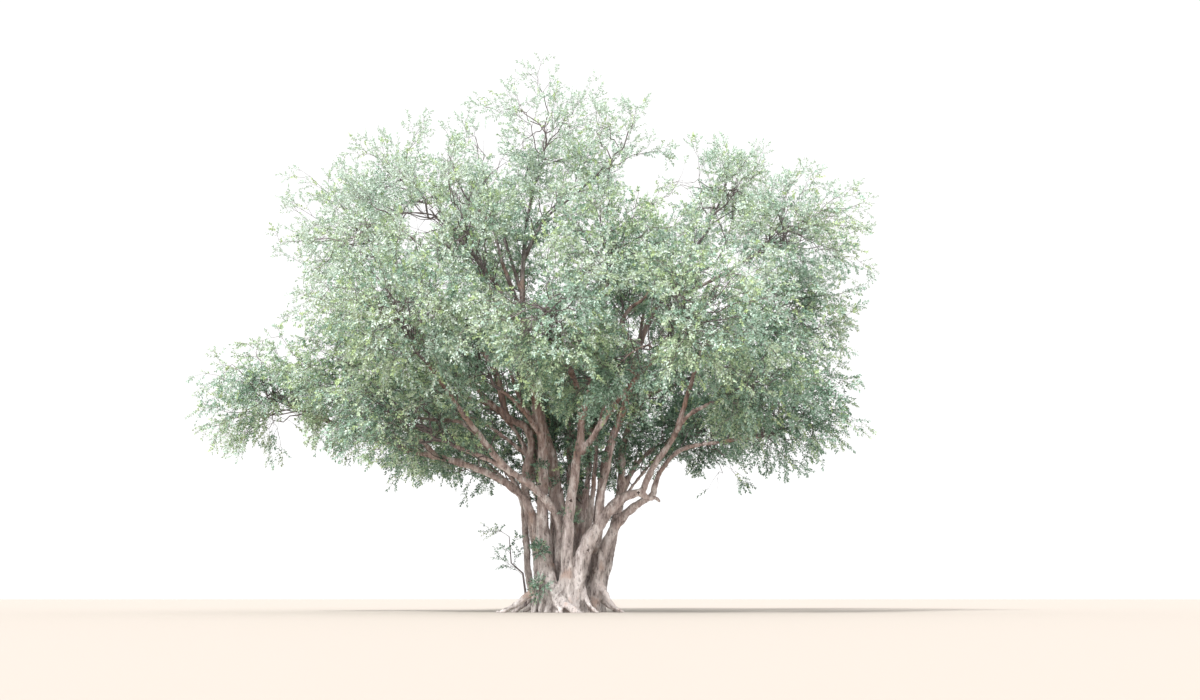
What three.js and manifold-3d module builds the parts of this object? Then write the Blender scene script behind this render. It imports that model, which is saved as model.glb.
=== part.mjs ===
// A broad savanna tree with many stems: thirteen stems rise from one flared, fluted foot with exposed roots,
// fan out into boughs, and carry a wide dense crown made of separate masses of foliage.
// Millimetres, +Z up. The origin is in the middle of the flat cut at ground level, and -Y faces the viewer.
import * as THREE from "three";
import { mergeVertices } from "three/addons/utils/BufferGeometryUtils.js";
import Module from "manifold-3d";

const wasm = await Module();
wasm.setup();

// Driving dimensions. Limbs and masses are given in metres, as they would be paced out round the real tree.
const METRE = 1000;
const CLEARANCE = 0.3; // free gap between two pieces that meet
const LEAST_LIMB_GAP = 25; // how far leaves and twigs stay from a limb's bark
const SPACE_FLATNESS = 0.85; // height of a foliage mass over its width
const STEM_SIDES = 8;
const BOUGH_SIDES = 5;
const RING_SPACING = 0.95 * METRE;
const ROOT_SIDES = 6;
const FLARE_HEIGHT = 0.45 * METRE; // height over which a stem's foot swells into the flare
const FLARE_GAIN = 0.9; // how much wider a stem is at the ground than above its flare
const BURIED = 0.3 * METRE; // how far a foot is drawn below ground before the flat cut
const BARK_COLOUR = "#a8927f";
const LEAF_COLOUR = "#8fae88";

// A leaf blade stands for a whole spray. It is a flat eight-faced lozenge.
const BLADE_LENGTH = 1.7 * METRE;
const BLADE_WIDTH = 0.66; // of its length
const BLADE_THICKNESS = 0.03; // of its length
const BLADE_SIZES = [1, 0.88, 0.76, 0.64, 0.52]; // the longest that fits is taken
const BLADE_SINK = 12; // how far a blade's root lies beyond its twig's axis
const BLADES_PER_TWIG = 3;
const BLADE_SPLAY = 1.25; // how far a blade leans out from its twig's own direction
const BLADE_ROLL = 0.8; // how far the first and last blades of a twig are rolled from facing outwards
const BLADE_SPACING = 120; // between the roots of two blades on one twig
const TWIGS = 5;
const CORE_SHARES = [0.46, 0.38, 0.3]; // of the mass's reach: the largest core that stays clear of the limbs
const TWIG_REACH = 0.5; // of the mass's reach
const CORE_TWIG_REACH = 0.6; // of the mass's reach, past its core
const TWIG_RADIUS = 52;
const TWIG_ROOTS = [0.6, 0.98]; // share of the mass's stem along which twigs leave
const TWIG_VARIATION = [0.9, 1.1]; // of a twig's reach
const TWIG_TURN = 1.7; // how far each mass's twigs are turned from those of the mass before
const BLADE_TILT = [0.3, 0.2, 1]; // any direction that no twig runs along
const MASS_STEM_SIDES = 4;
const MASS_STEM_WIDTH = 0.8; // of its bough's tip
const MASS_STEM_BEND = 0.35; // how long the stem holds its bough's direction, as a share of its way
const GOLDEN_ANGLE = Math.PI * (3 - Math.sqrt(5));

const TAPER = 0.75; // power of a limb's taper: it thins faster near its start
const TIP_START = 0.002; // share of its length after which a limb that goes on from a tip begins
const LIMB_SAMPLE = 0.3 * METRE; // step of the check of gaps along a limb
const GAP_REACH = 200; // beyond which limbs are left out of that check
const WALL = 60 * METRE; // square millimetres by which a place is nearer its own mass than any other
const CORE_MARGIN = 1.08; // how much wider than the core its space has to be
const CORE_STEP = 0.92; // how far a corner of a core that is too wide is drawn in
const GROUND_WIDTH = 8 * METRE;

// Stems stand on the ground. Each has the height at which it leaves the trunk, its radius there and at its tip,
// and a few places that it passes through from the ground up: across, towards the back, and up.
const STEMS = [
  { name: "stem_outer_left", fork: 2.0, radii: [0.08, 0.05],
    route: [[-0.66, 0.26, 0], [-0.87, 0.3, 0.95], [-0.95, 0.32, 1.95], [-1.15, 0.55, 3.1],
      [-1.95, 1.5, 4.0], [-2.8, 2.3, 4.35]] },
  { name: "stem_low_left", fork: 2.1, radii: [0.11, 0.055],
    route: [[-0.56, -0.3, 0], [-0.6, -0.3, 1.3], [-0.7, -0.3, 2.2], [-0.98, -0.36, 2.85],
      [-1.75, -0.42, 3.4], [-2.7, -0.55, 3.75], [-4.4, -0.4, 4.2], [-6.5, -0.3, 5.0]] },
  { name: "stem_left", fork: 2.2, radii: [0.165, 0.055],
    route: [[-0.24, -0.72, 0], [-0.36, -0.6, 1.0], [-0.5, -0.52, 2.2], [-0.48, -0.5, 3.5],
      [-0.6, -0.7, 5.0], [-1.2, -1.5, 6.8], [-1.9, -2.3, 8.1]] },
  { name: "stem_crossing_left", fork: 1.9, radii: [0.115, 0.05],
    route: [[0.02, -0.5, 0], [-0.06, -0.45, 1.2], [-0.1, -0.6, 2.3], [-0.7, -1.0, 3.05],
      [-1.35, -1.4, 3.5], [-2.1, -2.2, 4.4], [-3.1, -3.3, 5.8]] },
  { name: "stem_elbow_left", fork: 2.2, radii: [0.12, 0.05],
    route: [[-0.5, 0.05, 0], [-0.64, 0.06, 1.4], [-0.97, 0.05, 3.3], [-0.82, 0.0, 4.25],
      [-0.97, 0.0, 4.7], [-1.4, 0.0, 4.95], [-1.8, 0.05, 6.2], [-3.1, 0.4, 8.0], [-4.7, 0.8, 9.4]] },
  { name: "stem_centre", fork: 2.3, radii: [0.195, 0.055],
    route: [[0.02, 0.05, 0], [0.0, 0.02, 1.6], [-0.14, 0.02, 2.8], [-0.34, 0.02, 4.0],
      [-0.72, 0.0, 5.4], [-1.08, 0.0, 8.1], [-1.0, 0.0, 10.1], [-0.75, 0.0, 11.5]] },
  { name: "stem_back_left", fork: 1.9, radii: [0.14, 0.05],
    route: [[-0.4, 0.62, 0], [-0.45, 0.68, 1.5], [-0.62, 0.95, 3.3], [-0.95, 1.5, 5.2],
      [-1.6, 2.4, 7.5], [-2.1, 3.0, 9.2]] },
  { name: "stem_straight", fork: 1.5, radii: [0.16, 0.05],
    route: [[0.14, -0.92, 0], [0.15, -0.92, 1.0], [0.18, -0.92, 2.2], [0.36, -0.92, 3.6],
      [0.5, -0.98, 4.7], [0.3, -1.9, 5.7], [-0.2, -3.4, 6.3]] },
  { name: "stem_right", fork: 1.7, radii: [0.135, 0.05],
    route: [[0.72, 0.12, 0], [0.84, 0.16, 1.4], [0.95, 0.2, 2.7], [1.15, 0.2, 4.0],
      [1.65, 0.2, 5.4], [2.15, 0.2, 7.3], [3.0, 0.5, 8.9], [3.95, 1.0, 10.3]] },
  { name: "limb_great_right", fork: 1.35, radii: [0.2, 0.1],
    route: [[0.3, -0.75, 0], [0.48, -0.78, 1.2], [0.95, -0.8, 2.15], [1.5, -0.8, 2.8], [2.02, -0.8, 2.97]] },
  { name: "limb_outer_right", fork: 1.3, radii: [0.165, 0.08],
    route: [[0.72, -0.3, 0], [0.92, -0.28, 1.0], [1.3, -0.3, 2.05], [1.8, -0.36, 2.6], [2.3, -0.42, 2.9]] },
  { name: "stem_back_right", fork: 1.6, radii: [0.135, 0.05],
    route: [[0.85, 0.78, 0], [1.15, 0.92, 1.3], [1.5, 1.1, 3.1], [1.6, 1.25, 4.4], [2.15, 1.9, 5.7],
      [3.2, 3.4, 6.4]] },
  { name: "stem_back", fork: 1.7, radii: [0.145, 0.05],
    route: [[0.25, 0.82, 0], [0.32, 0.95, 1.5], [0.4, 1.4, 3.1], [0.3, 2.4, 4.5], [0.1, 3.9, 5.4]] },
];

// Boughs grow from a limb, at a share of that limb's length.
const BOUGHS = [
  { name: "bough_left_low", from: "stem_low_left", at: 0.62, radii: [0.07, 0.045],
    route: [[-3.9, -0.8, 4.6], [-4.4, -1.0, 5.0]] },
  { name: "bough_left_mid", from: "stem_elbow_left", at: 0.49, radii: [0.085, 0.045],
    route: [[-2.0, 0.1, 5.45], [-2.9, 0.3, 6.5], [-4.3, 0.5, 7.3]] },
  { name: "bough_left_shoulder", from: "stem_centre", at: 0.58, radii: [0.085, 0.045],
    route: [[-1.6, -0.2, 8.2], [-2.4, -0.6, 9.2], [-3.15, -1.1, 9.9]] },
  { name: "bough_top_left", from: "stem_centre", at: 0.72, radii: [0.07, 0.045],
    route: [[-1.6, 0.4, 9.8], [-2.1, 1.0, 11.1]] },
  { name: "bough_top_right", from: "stem_centre", at: 0.8, radii: [0.065, 0.04],
    route: [[-0.5, -0.3, 10.2], [0.15, -0.8, 10.6], [0.7, -1.1, 11.0]] },
  { name: "bough_leaning_right", from: "stem_straight", at: 0.5, radii: [0.09, 0.05],
    route: [[0.9, -1.05, 4.5], [1.35, -1.25, 5.15], [1.9, -2.0, 5.7], [2.5, -3.2, 6.2]] },
  { name: "bough_front_upper", from: "stem_straight", at: 0.6, radii: [0.075, 0.045],
    route: [[0.8, -1.4, 6.0], [1.0, -1.9, 7.0], [1.15, -2.4, 7.9]] },
  { name: "bough_front_middle", from: "stem_left", at: 0.52, radii: [0.065, 0.045],
    route: [[-1.1, -1.5, 5.1], [-1.5, -1.9, 5.4]] },
  { name: "bough_front_left", from: "stem_crossing_left", at: 0.56, radii: [0.075, 0.045],
    route: [[-1.9, -1.55, 3.75], [-2.6, -1.9, 4.0]] },
  { name: "bough_back_left", from: "stem_back_left", at: 0.55, radii: [0.08, 0.045],
    route: [[-1.7, 2.3, 5.9], [-2.9, 3.5, 6.4]] },
  { name: "bough_heart", from: "stem_right", at: 0.58, radii: [0.07, 0.045],
    route: [[1.75, 0.35, 6.9], [1.6, 0.5, 7.5]] },
  { name: "bough_right_upper", from: "stem_right", at: 0.76, radii: [0.08, 0.045],
    route: [[3.7, 0.0, 8.5], [5.0, -0.8, 9.1]] },
  { name: "bough_right_rising", from: "limb_great_right", at: 1, radii: [0.085, 0.045],
    route: [[2.25, -0.8, 3.5], [2.85, -0.8, 4.4], [3.25, -0.8, 5.6], [3.7, -0.7, 6.8], [4.6, -0.5, 7.4]] },
  { name: "bough_right_low", from: "limb_outer_right", at: 1, radii: [0.07, 0.045],
    route: [[2.5, -0.42, 3.5], [3.0, -0.38, 4.05], [4.1, -0.2, 4.3], [5.1, -0.1, 4.45]] },
  { name: "bough_front_right", from: "bough_right_rising", at: 0.3, radii: [0.065, 0.045],
    route: [[3.15, -1.4, 4.8], [3.7, -2.0, 5.05]] },
  { name: "bough_back_low_right", from: "stem_back_right", at: 0.42, radii: [0.07, 0.045],
    route: [[2.05, 1.5, 4.0], [2.6, 1.9, 4.45], [3.05, 2.25, 4.6]] },
  { name: "bough_back_upper_right", from: "stem_back_right", at: 0.7, radii: [0.075, 0.045],
    route: [[2.0, 2.1, 7.0], [2.3, 2.7, 8.8]] },
];

// Masses of foliage: the limb that feeds each one, its middle and its reach to the side, in metres.
const MASSES = [
  { name: "foliage_left_tip", limb: "stem_low_left", middle: [-7.85, -0.3, 5.5], reach: 2.05 },
  { name: "foliage_left_low", limb: "bough_left_low", middle: [-5.5, -1.0, 6.0], reach: 2.35 },
  { name: "foliage_left_mid", limb: "bough_left_mid", middle: [-5.4, 0.7, 8.1], reach: 2.2 },
  { name: "foliage_left_upper", limb: "stem_elbow_left", middle: [-6.1, 1.2, 10.4], reach: 2.25 },
  { name: "foliage_left_shoulder", limb: "bough_left_shoulder", middle: [-4.1, -1.6, 10.9], reach: 2.2 },
  { name: "foliage_top_left", limb: "bough_top_left", middle: [-2.5, 1.6, 12.3], reach: 2.0 },
  { name: "foliage_top", limb: "stem_centre", middle: [-0.4, 0.0, 12.7], reach: 2.35 },
  { name: "foliage_top_right", limb: "bough_top_right", middle: [1.3, -1.5, 11.8], reach: 1.8 },
  { name: "foliage_right_peak", limb: "stem_right", middle: [4.6, 1.5, 11.6], reach: 2.1 },
  { name: "foliage_right_upper", limb: "bough_right_upper", middle: [6.3, -1.2, 9.6], reach: 2.3 },
  { name: "foliage_right_mid", limb: "bough_right_rising", middle: [6.0, -0.5, 7.6], reach: 2.3 },
  { name: "foliage_right_low", limb: "bough_right_low", middle: [5.9, -0.1, 5.4], reach: 2.25 },
  { name: "foliage_front", limb: "stem_straight", middle: [-0.3, -5.2, 6.7], reach: 2.6 },
  { name: "foliage_front_middle", limb: "bough_front_middle", middle: [-2.2, -2.7, 6.5], reach: 1.9 },
  { name: "foliage_front_left", limb: "stem_crossing_left", middle: [-3.7, -4.5, 7.0], reach: 2.5 },
  { name: "foliage_front_right", limb: "bough_leaning_right", middle: [3.2, -4.9, 6.8], reach: 2.6 },
  { name: "foliage_front_upper_left", limb: "stem_left", middle: [-2.6, -3.2, 9.4], reach: 2.4 },
  { name: "foliage_front_upper_right", limb: "bough_front_upper", middle: [1.4, -3.0, 9.2], reach: 2.4 },
  { name: "foliage_front_low_left", limb: "bough_front_left", middle: [-4.1, -2.4, 4.95], reach: 2.1 },
  { name: "foliage_front_low_right", limb: "bough_front_right", middle: [4.8, -2.9, 5.5], reach: 1.9 },
  { name: "foliage_back", limb: "stem_back", middle: [0.0, 5.4, 6.4], reach: 2.6 },
  { name: "foliage_back_left", limb: "bough_back_left", middle: [-4.1, 4.7, 7.2], reach: 2.6 },
  { name: "foliage_back_right", limb: "stem_back_right", middle: [4.2, 4.7, 7.2], reach: 2.6 },
  { name: "foliage_back_upper_left", limb: "stem_back_left", middle: [-2.5, 3.6, 10.3], reach: 2.5 },
  { name: "foliage_back_upper_right", limb: "bough_back_upper_right", middle: [2.6, 3.6, 10.1], reach: 2.5 },
  { name: "foliage_back_low_left", limb: "stem_outer_left", middle: [-3.6, 3.4, 4.95], reach: 2.1 },
  { name: "foliage_back_low_right", limb: "bough_back_low_right", middle: [3.9, 3.2, 5.0], reach: 2.1 },
  { name: "foliage_heart", limb: "bough_heart", middle: [1.4, 0.5, 8.9], reach: 2.2 },
];

// Exposed roots run down the flare from the trunk's side and dive into the ground.
const ROOTS = [
  { radii: [0.16, 0.07],
    route: [[-0.42, -0.72, 0.85], [-0.75, -0.88, 0.5], [-1.15, -1.1, 0.17], [-1.6, -1.3, -0.06]] },
  { radii: [0.24, 0.1],
    route: [[-0.26, -0.72, 0.9], [-0.08, -1.0, 0.4], [0.3, -1.32, 0.12], [0.66, -1.58, -0.1]] },
  { radii: [0.11, 0.05],
    route: [[0.86, -0.3, 0.9], [1.08, -0.48, 0.5], [1.24, -0.62, 0.22], [1.6, -0.8, -0.05]] },
  { radii: [0.06, 0.04], route: [[-0.55, -0.78, 0.6], [-0.68, -0.98, 0.3], [-0.7, -1.12, -0.06]] },
  { radii: [0.055, 0.04], route: [[-0.4, -0.82, 0.5], [-0.5, -1.0, 0.2], [-0.52, -1.12, -0.06]] },
  { radii: [0.07, 0.045], route: [[-0.05, -0.95, 0.4], [-0.08, -1.15, 0.14], [-0.1, -1.32, -0.06]] },
];
// Roots on the sides that the photograph does not show: angles in degrees, and how far out and how high each
// one passes, from the trunk's side to its end below the cut.
const HIDDEN_ROOTS = {
  count: 5,
  angles: [-8, 195],
  passes: [[0.72, 0.75], [0.975, 0.3], [1.27, 0.06], [1.45, -0.09]],
  radii: [0.14, 0.055],
};
// The solid heart of the trunk between the stems: radius across and height of its top.
const CORE = { middle: [0.1, 0.04], radius: 0.92, topRadius: 0.5, height: 1.3, sides: 12 };

/** A repeatable stream of numbers from 0 to 1. */
function randomFrom(seed) {
  let state = seed >>> 0;
  return () => {
    state = (state + 0x6d2b79f5) >>> 0;
    let mixed = Math.imul(state ^ (state >>> 15), state | 1);
    mixed ^= mixed + Math.imul(mixed ^ (mixed >>> 7), mixed | 61);
    return ((mixed ^ (mixed >>> 14)) >>> 0) / 4294967296;
  };
}

const inMillimetres = (place) => new THREE.Vector3(...place).multiplyScalar(METRE);
const mix = (a, b, share) => a + (b - a) * share;

/** A closed solid from a three.js geometry. */
function solidOf(geometry) {
  const bare = geometry.clone();
  bare.deleteAttribute("normal");
  bare.deleteAttribute("uv");
  const merged = mergeVertices(bare, 1e-3);
  return new wasm.Manifold(new wasm.Mesh({
    numProp: 3,
    vertProperties: new Float32Array(merged.attributes.position.array),
    triVerts: new Uint32Array(merged.index.array),
  }));
}

/** A named mesh from a solid, in flat bark or leaf colour. */
function meshOf(solid, name, colour) {
  const { vertProperties, triVerts, numProp, numVert } = solid.getMesh();
  const places = new Float32Array(numVert * 3);
  for (let i = 0; i < numVert; i++) {
    places.set(vertProperties.subarray(i * numProp, i * numProp + 3), i * 3);
  }
  const geometry = new THREE.BufferGeometry();
  geometry.setAttribute("position", new THREE.BufferAttribute(places, 3));
  geometry.setIndex(new THREE.BufferAttribute(triVerts, 1));
  geometry.computeVertexNormals();
  const finish = new THREE.MeshStandardMaterial({ color: colour, roughness: 0.85, metalness: 0 });
  const mesh = new THREE.Mesh(geometry, finish);
  mesh.name = name;
  return mesh;
}

/** The largest connected piece of a solid. */
function largestPiece(solid) {
  return solid.decompose().reduce((best, piece) => (piece.volume() > best.volume() ? piece : best));
}

/** A cylinder bent along a curve between two shares of its length, with a radius for each share. */
function bentCylinder({ curve, from, to, radiusAt, sides, grow = 0 }) {
  const length = curve.getLength() * (to - from);
  const rings = Math.max(1, Math.round(length / RING_SPACING));
  const frames = [];
  let across = new THREE.Vector3(1, 0, 0);
  for (let ring = 0; ring <= rings; ring++) {
    const share = mix(from, to, ring / rings);
    const along = curve.getTangentAt(share);
    across = across.clone().addScaledVector(along, -across.dot(along)).normalize();
    const place = curve.getPointAt(share);
    if (ring === 0) place.addScaledVector(along, -grow);
    if (ring === rings) place.addScaledVector(along, grow);
    const sideways = new THREE.Vector3().crossVectors(across, along);
    frames.push({ place, across, sideways, radius: radiusAt(share) + grow });
  }
  const geometry = new THREE.CylinderGeometry(1, 1, 1, sides, rings);
  const spots = geometry.attributes.position;
  for (let i = 0; i < spots.count; i++) {
    const frame = frames[Math.round((spots.getY(i) + 0.5) * rings)];
    const spot = frame.place.clone()
      .addScaledVector(frame.across, spots.getX(i) * frame.radius)
      .addScaledVector(frame.sideways, spots.getZ(i) * frame.radius);
    spots.setXYZ(i, spot.x, spot.y, spot.z);
  }
  return solidOf(geometry);
}

/** The share of a rising curve's length at which it reaches a height. */
function shareAtHeight(curve, height) {
  let [low, high] = [0, 1];
  for (let step = 0; step < 30; step++) {
    const middle = (low + high) / 2;
    if (curve.getPointAt(middle).z < height) low = middle;
    else high = middle;
  }
  return low;
}

/** A limb's line, radius and sides. A stem also swells towards the ground. */
function limbFrom({ name, route, radii, fork, from, at }) {
  const limb = { name, sides: fork ? STEM_SIDES : BOUGH_SIDES };
  const places = route.map(inMillimetres);
  if (fork) {
    places.unshift(places[0].clone().setZ(-BURIED));
  } else {
    places.unshift(limbs.get(from).curve.getPointAt(at));
  }
  limb.curve = new THREE.CatmullRomCurve3(places, false, "centripetal");
  limb.start = fork ? shareAtHeight(limb.curve, fork * METRE) : 0;
  limb.begin = at === 1 ? TIP_START : limb.start;
  const [first, last] = radii.map((radius) => radius * METRE);
  limb.radiusAt = (share) => {
    const taper = mix(first, last, Math.max(0, (share - limb.start) / (1 - limb.start)) ** TAPER);
    const height = Math.max(0, limb.curve.getPointAt(share).z);
    return fork ? taper * (1 + FLARE_GAIN * Math.exp(-height / FLARE_HEIGHT)) : taper;
  };
  return limb;
}

/** A limb's solid between two shares of its length. */
const limbSolid = (limb, from, to, grow = 0) =>
  bentCylinder({ curve: limb.curve, from, to, radiusAt: limb.radiusAt, sides: limb.sides, grow });

/** One exposed root, down the flare and into the ground. */
function rootSolid({ route, radii }, grow) {
  const curve = new THREE.CatmullRomCurve3(route.map(inMillimetres), false, "centripetal");
  const radiusAt = (share) => mix(radii[0], radii[1], share) * METRE;
  return bentCylinder({ curve, from: 0, to: 1, radiusAt, sides: ROOT_SIDES, grow });
}

/** The hidden roots' rows, evenly round the back. */
function hiddenRoots() {
  const { count, angles, passes, radii } = HIDDEN_ROOTS;
  return Array.from({ length: count }, (_, index) => {
    const angle = THREE.MathUtils.degToRad(mix(...angles, index / (count - 1)));
    const route = passes.map(([radius, height]) =>
      [CORE.middle[0] + radius * Math.cos(angle), radius * Math.sin(angle), height]);
    return { radii, route };
  });
}

/** The trunk: the stems' feet, the heart between them and the roots, cut flat at the ground. */
function trunkSolid(grow = 0) {
  const heart = new THREE.CylinderGeometry(CORE.topRadius * METRE + grow, CORE.radius * METRE + grow,
    CORE.height * METRE + BURIED + grow, CORE.sides, 1);
  heart.rotateX(Math.PI / 2);
  heart.translate(CORE.middle[0] * METRE, CORE.middle[1] * METRE, (CORE.height * METRE - BURIED + grow) / 2);
  const standing = [...limbs.values()].filter((limb) => limb.start > 0);
  const feet = standing.map((limb) => limbSolid(limb, 0, limb.start, grow));
  const roots = [...ROOTS, ...hiddenRoots()].map((root) => rootSolid(root, grow));
  const whole = wasm.Manifold.union([solidOf(heart), ...feet, ...roots]);
  const ground = new THREE.BoxGeometry(GROUND_WIDTH, GROUND_WIDTH, METRE).translate(0, 0, -METRE / 2);
  return largestPiece(whole.subtract(solidOf(ground)));
}

const limbs = new Map();
for (const row of [...STEMS, ...BOUGHS]) limbs.set(row.name, limbFrom(row));

const tree = new THREE.Group();
const trunk = trunkSolid();
tree.add(meshOf(trunk, "trunk", BARK_COLOUR));

// Each limb is cut clear of the trunk and of the limbs before it.
const woodGrown = [trunkSolid(CLEARANCE)];
const wood = [trunk];
for (const limb of limbs.values()) {
  const whole = limbSolid(limb, limb.begin, 1);
  const cut = largestPiece(whole.subtract(wasm.Manifold.union(woodGrown)));
  tree.add(meshOf(cut, limb.name, BARK_COLOUR));
  wood.push(cut);
  woodGrown.push(limbSolid(limb, limb.begin, 1, CLEARANCE));
}
const allWood = wasm.Manifold.union(wood);
const limbLines = [...limbs.values()].map((limb) => {
  const count = Math.max(2, Math.round(limb.curve.getLength() / LIMB_SAMPLE));
  const shares = Array.from({ length: count + 1 }, (_, index) => index / count);
  return { places: shares.map((share) => limb.curve.getPointAt(share)), radii: shares.map(limb.radiusAt) };
});

/** True if a segment of some half width stays clear of every limb's bark. */
function clearOfLimbs(a, b, width) {
  const box = new THREE.Box3().setFromPoints([a, b]).expandByScalar(width + LEAST_LIMB_GAP + GAP_REACH);
  for (const { places, radii } of limbLines) {
    for (let i = 0; i + 1 < places.length; i++) {
      if (!box.intersectsBox(new THREE.Box3().setFromPoints([places[i], places[i + 1]]))) continue;
      const gap = segmentGap(a, b, places[i], places[i + 1]);
      if (gap < radii[i] + width + LEAST_LIMB_GAP) return false;
    }
  }
  return true;
}

/** The least distance between two segments. */
function segmentGap(a, b, c, d) {
  const [u, v, w] = [b.clone().sub(a), d.clone().sub(c), a.clone().sub(c)];
  const [uu, uv, vv, uw, vw] = [u.dot(u), u.dot(v), v.dot(v), u.dot(w), v.dot(w)];
  const denominator = uu * vv - uv * uv;
  let s = denominator > 1e-9 ? THREE.MathUtils.clamp((uv * vw - vv * uw) / denominator, 0, 1) : 0;
  const t = THREE.MathUtils.clamp((uv * s + vw) / vv, 0, 1);
  s = THREE.MathUtils.clamp((uv * t - uw) / uu, 0, 1);
  return a.clone().addScaledVector(u, s).distanceTo(c.clone().addScaledVector(v, t));
}

const flattened = (place) => new THREE.Vector3(place.x, place.y, place.z / SPACE_FLATNESS);
const spaces = MASSES.map(({ middle, reach }) => ({ middle: inMillimetres(middle), reach: reach * METRE }));

/** True if a place lies inside a mass's own space: its flattened ball, on its own side of every neighbour. */
function isInside(place, index) {
  const power = ({ middle, reach }) => flattened(place).distanceToSquared(flattened(middle)) - reach * reach;
  const own = power(spaces[index]);
  return own < 0 && spaces.every((other, i) => i === index || own + WALL < power(other));
}

/** One straight three-sided twig that tapers to its tip. */
function twigSolid(from, to) {
  const length = from.distanceTo(to);
  const heading = to.clone().sub(from).normalize();
  const twig = new THREE.ConeGeometry(TWIG_RADIUS, length, 3, 1).translate(0, length / 2, 0);
  twig.applyQuaternion(new THREE.Quaternion().setFromUnitVectors(new THREE.Vector3(0, 1, 0), heading));
  return solidOf(twig.translate(from.x, from.y, from.z));
}

/** One blade from its root along a heading, with its flat side facing a direction. */
function blade(root, heading, length, facing) {
  const normal = facing.clone().addScaledVector(heading, -facing.dot(heading)).normalize();
  const side = new THREE.Vector3().crossVectors(heading, normal);
  const middle = root.clone().addScaledVector(heading, length / 2);
  const tip = root.clone().addScaledVector(heading, length);
  const halfWidth = (length * BLADE_WIDTH) / 2;
  const shape = new THREE.OctahedronGeometry(1).scale(halfWidth, length / 2, (length * BLADE_THICKNESS) / 2);
  shape.applyMatrix4(new THREE.Matrix4().makeBasis(side, heading, normal).setPosition(middle));
  const flank = (width) => middle.clone().addScaledVector(side, width);
  return { corners: [tip, flank(halfWidth), flank(-halfWidth)], halfWidth, solid: solidOf(shape) };
}

/** A dense mass's core: a rough ball with each corner drawn in until it lies in the mass's own space. */
function denseCore(index, random) {
  const { middle, reach } = spaces[index];
  for (const share of CORE_SHARES) {
    const ball = new THREE.IcosahedronGeometry(1);
    ball.rotateZ(random() * Math.PI);
    ball.rotateX(random() * Math.PI);
    ball.scale(reach * share, reach * share, reach * share * SPACE_FLATNESS);
    const shape = mergeVertices(ball.deleteAttribute("normal").deleteAttribute("uv"), 1);
    const spots = shape.attributes.position;
    for (let i = 0; i < spots.count; i++) {
      const corner = new THREE.Vector3().fromBufferAttribute(spots, i);
      while (!isInside(corner.clone().multiplyScalar(CORE_MARGIN).add(middle), index)) {
        corner.multiplyScalar(CORE_STEP);
      }
      spots.setXYZ(i, ...corner.add(middle));
    }
    const solid = solidOf(shape);
    if (solid.minGap(allWood, 2 * LEAST_LIMB_GAP) > LEAST_LIMB_GAP) return solid;
  }
  return null;
}

/** The stem of a mass: its line from 0.3 mm off its bough's tip to the middle, and its solid. */
function massStem(bough, middle) {
  const outOfBough = bough.curve.getTangentAt(1);
  const foot = bough.curve.getPointAt(1).addScaledVector(outOfBough, CLEARANCE);
  const knee = foot.clone().addScaledVector(outOfBough, foot.distanceTo(middle) * MASS_STEM_BEND);
  const curve = new THREE.QuadraticBezierCurve3(foot, knee, middle);
  const radiusAt = (share) => mix(bough.radiusAt(1) * MASS_STEM_WIDTH, TWIG_RADIUS, share);
  return { curve, solid: bentCylinder({ curve, from: 0, to: 1, sides: MASS_STEM_SIDES, radiusAt }) };
}

/** The blades of one twig, each the longest that keeps to its space, off the limbs and off other solids. */
function tuft(begin, end, out, index, others, random) {
  const inward = begin.clone().sub(end).normalize();
  const firstSpin = random() * 2 * Math.PI;
  const aside = new THREE.Vector3().crossVectors(out, new THREE.Vector3(...BLADE_TILT)).normalize();
  const blades = [];
  for (let k = 0; k < BLADES_PER_TWIG; k++) {
    const spin = firstSpin + (k / BLADES_PER_TWIG) * 2 * Math.PI;
    const splay = aside.clone().applyAxisAngle(out, spin).multiplyScalar(BLADE_SPLAY);
    const heading = out.clone().add(splay).normalize();
    const facing = out.clone().applyAxisAngle(heading, (k - 1) * BLADE_ROLL);
    const station = end.clone().addScaledVector(inward, BLADE_SPACING * (k + 1));
    const root = station.addScaledVector(heading, -BLADE_SINK);
    for (const size of BLADE_SIZES) {
      const { corners, halfWidth, solid } = blade(root, heading, BLADE_LENGTH * size, facing);
      const inSpace = corners.every((corner) => isInside(corner, index));
      if (inSpace && clearOfLimbs(root, corners[0], halfWidth) && others.intersect(solid).isEmpty()) {
        blades.push(solid);
        break;
      }
    }
  }
  return blades;
}

/** One mass of foliage: a stem from its bough's tip, twigs to all sides, and blades on each twig. */
function foliage({ limb }, index) {
  const random = randomFrom(index + 1);
  const { middle, reach } = spaces[index];
  const stem = massStem(limbs.get(limb), middle);
  const pieces = [stem.solid];
  const core = denseCore(index, random);
  const twigReach = reach * (core ? CORE_TWIG_REACH : TWIG_REACH);
  for (let twig = 0; twig < TWIGS; twig++) {
    const height = 1 - (2 * (twig + 0.5)) / TWIGS;
    const turn = twig * GOLDEN_ANGLE + index * TWIG_TURN;
    const ring = Math.sqrt(1 - height * height);
    const out = new THREE.Vector3(ring * Math.cos(turn), ring * Math.sin(turn), height);
    const stretch = twigReach * mix(...TWIG_VARIATION, random());
    const flat = out.clone().multiply(new THREE.Vector3(1, 1, SPACE_FLATNESS));
    const end = flat.multiplyScalar(stretch).add(middle);
    const begin = stem.curve.getPointAt(mix(...TWIG_ROOTS, random()));
    if (!isInside(end, index) || !clearOfLimbs(begin, end, TWIG_RADIUS)) continue;
    const others = wasm.Manifold.union(pieces);
    pieces.push(twigSolid(begin, end), ...tuft(begin, end, out, index, others, random));
  }
  if (core) pieces.push(core);
  return largestPiece(wasm.Manifold.union(pieces));
}

MASSES.forEach((row, index) => tree.add(meshOf(foliage(row, index), row.name, LEAF_COLOUR)));

export default tree;
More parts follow.
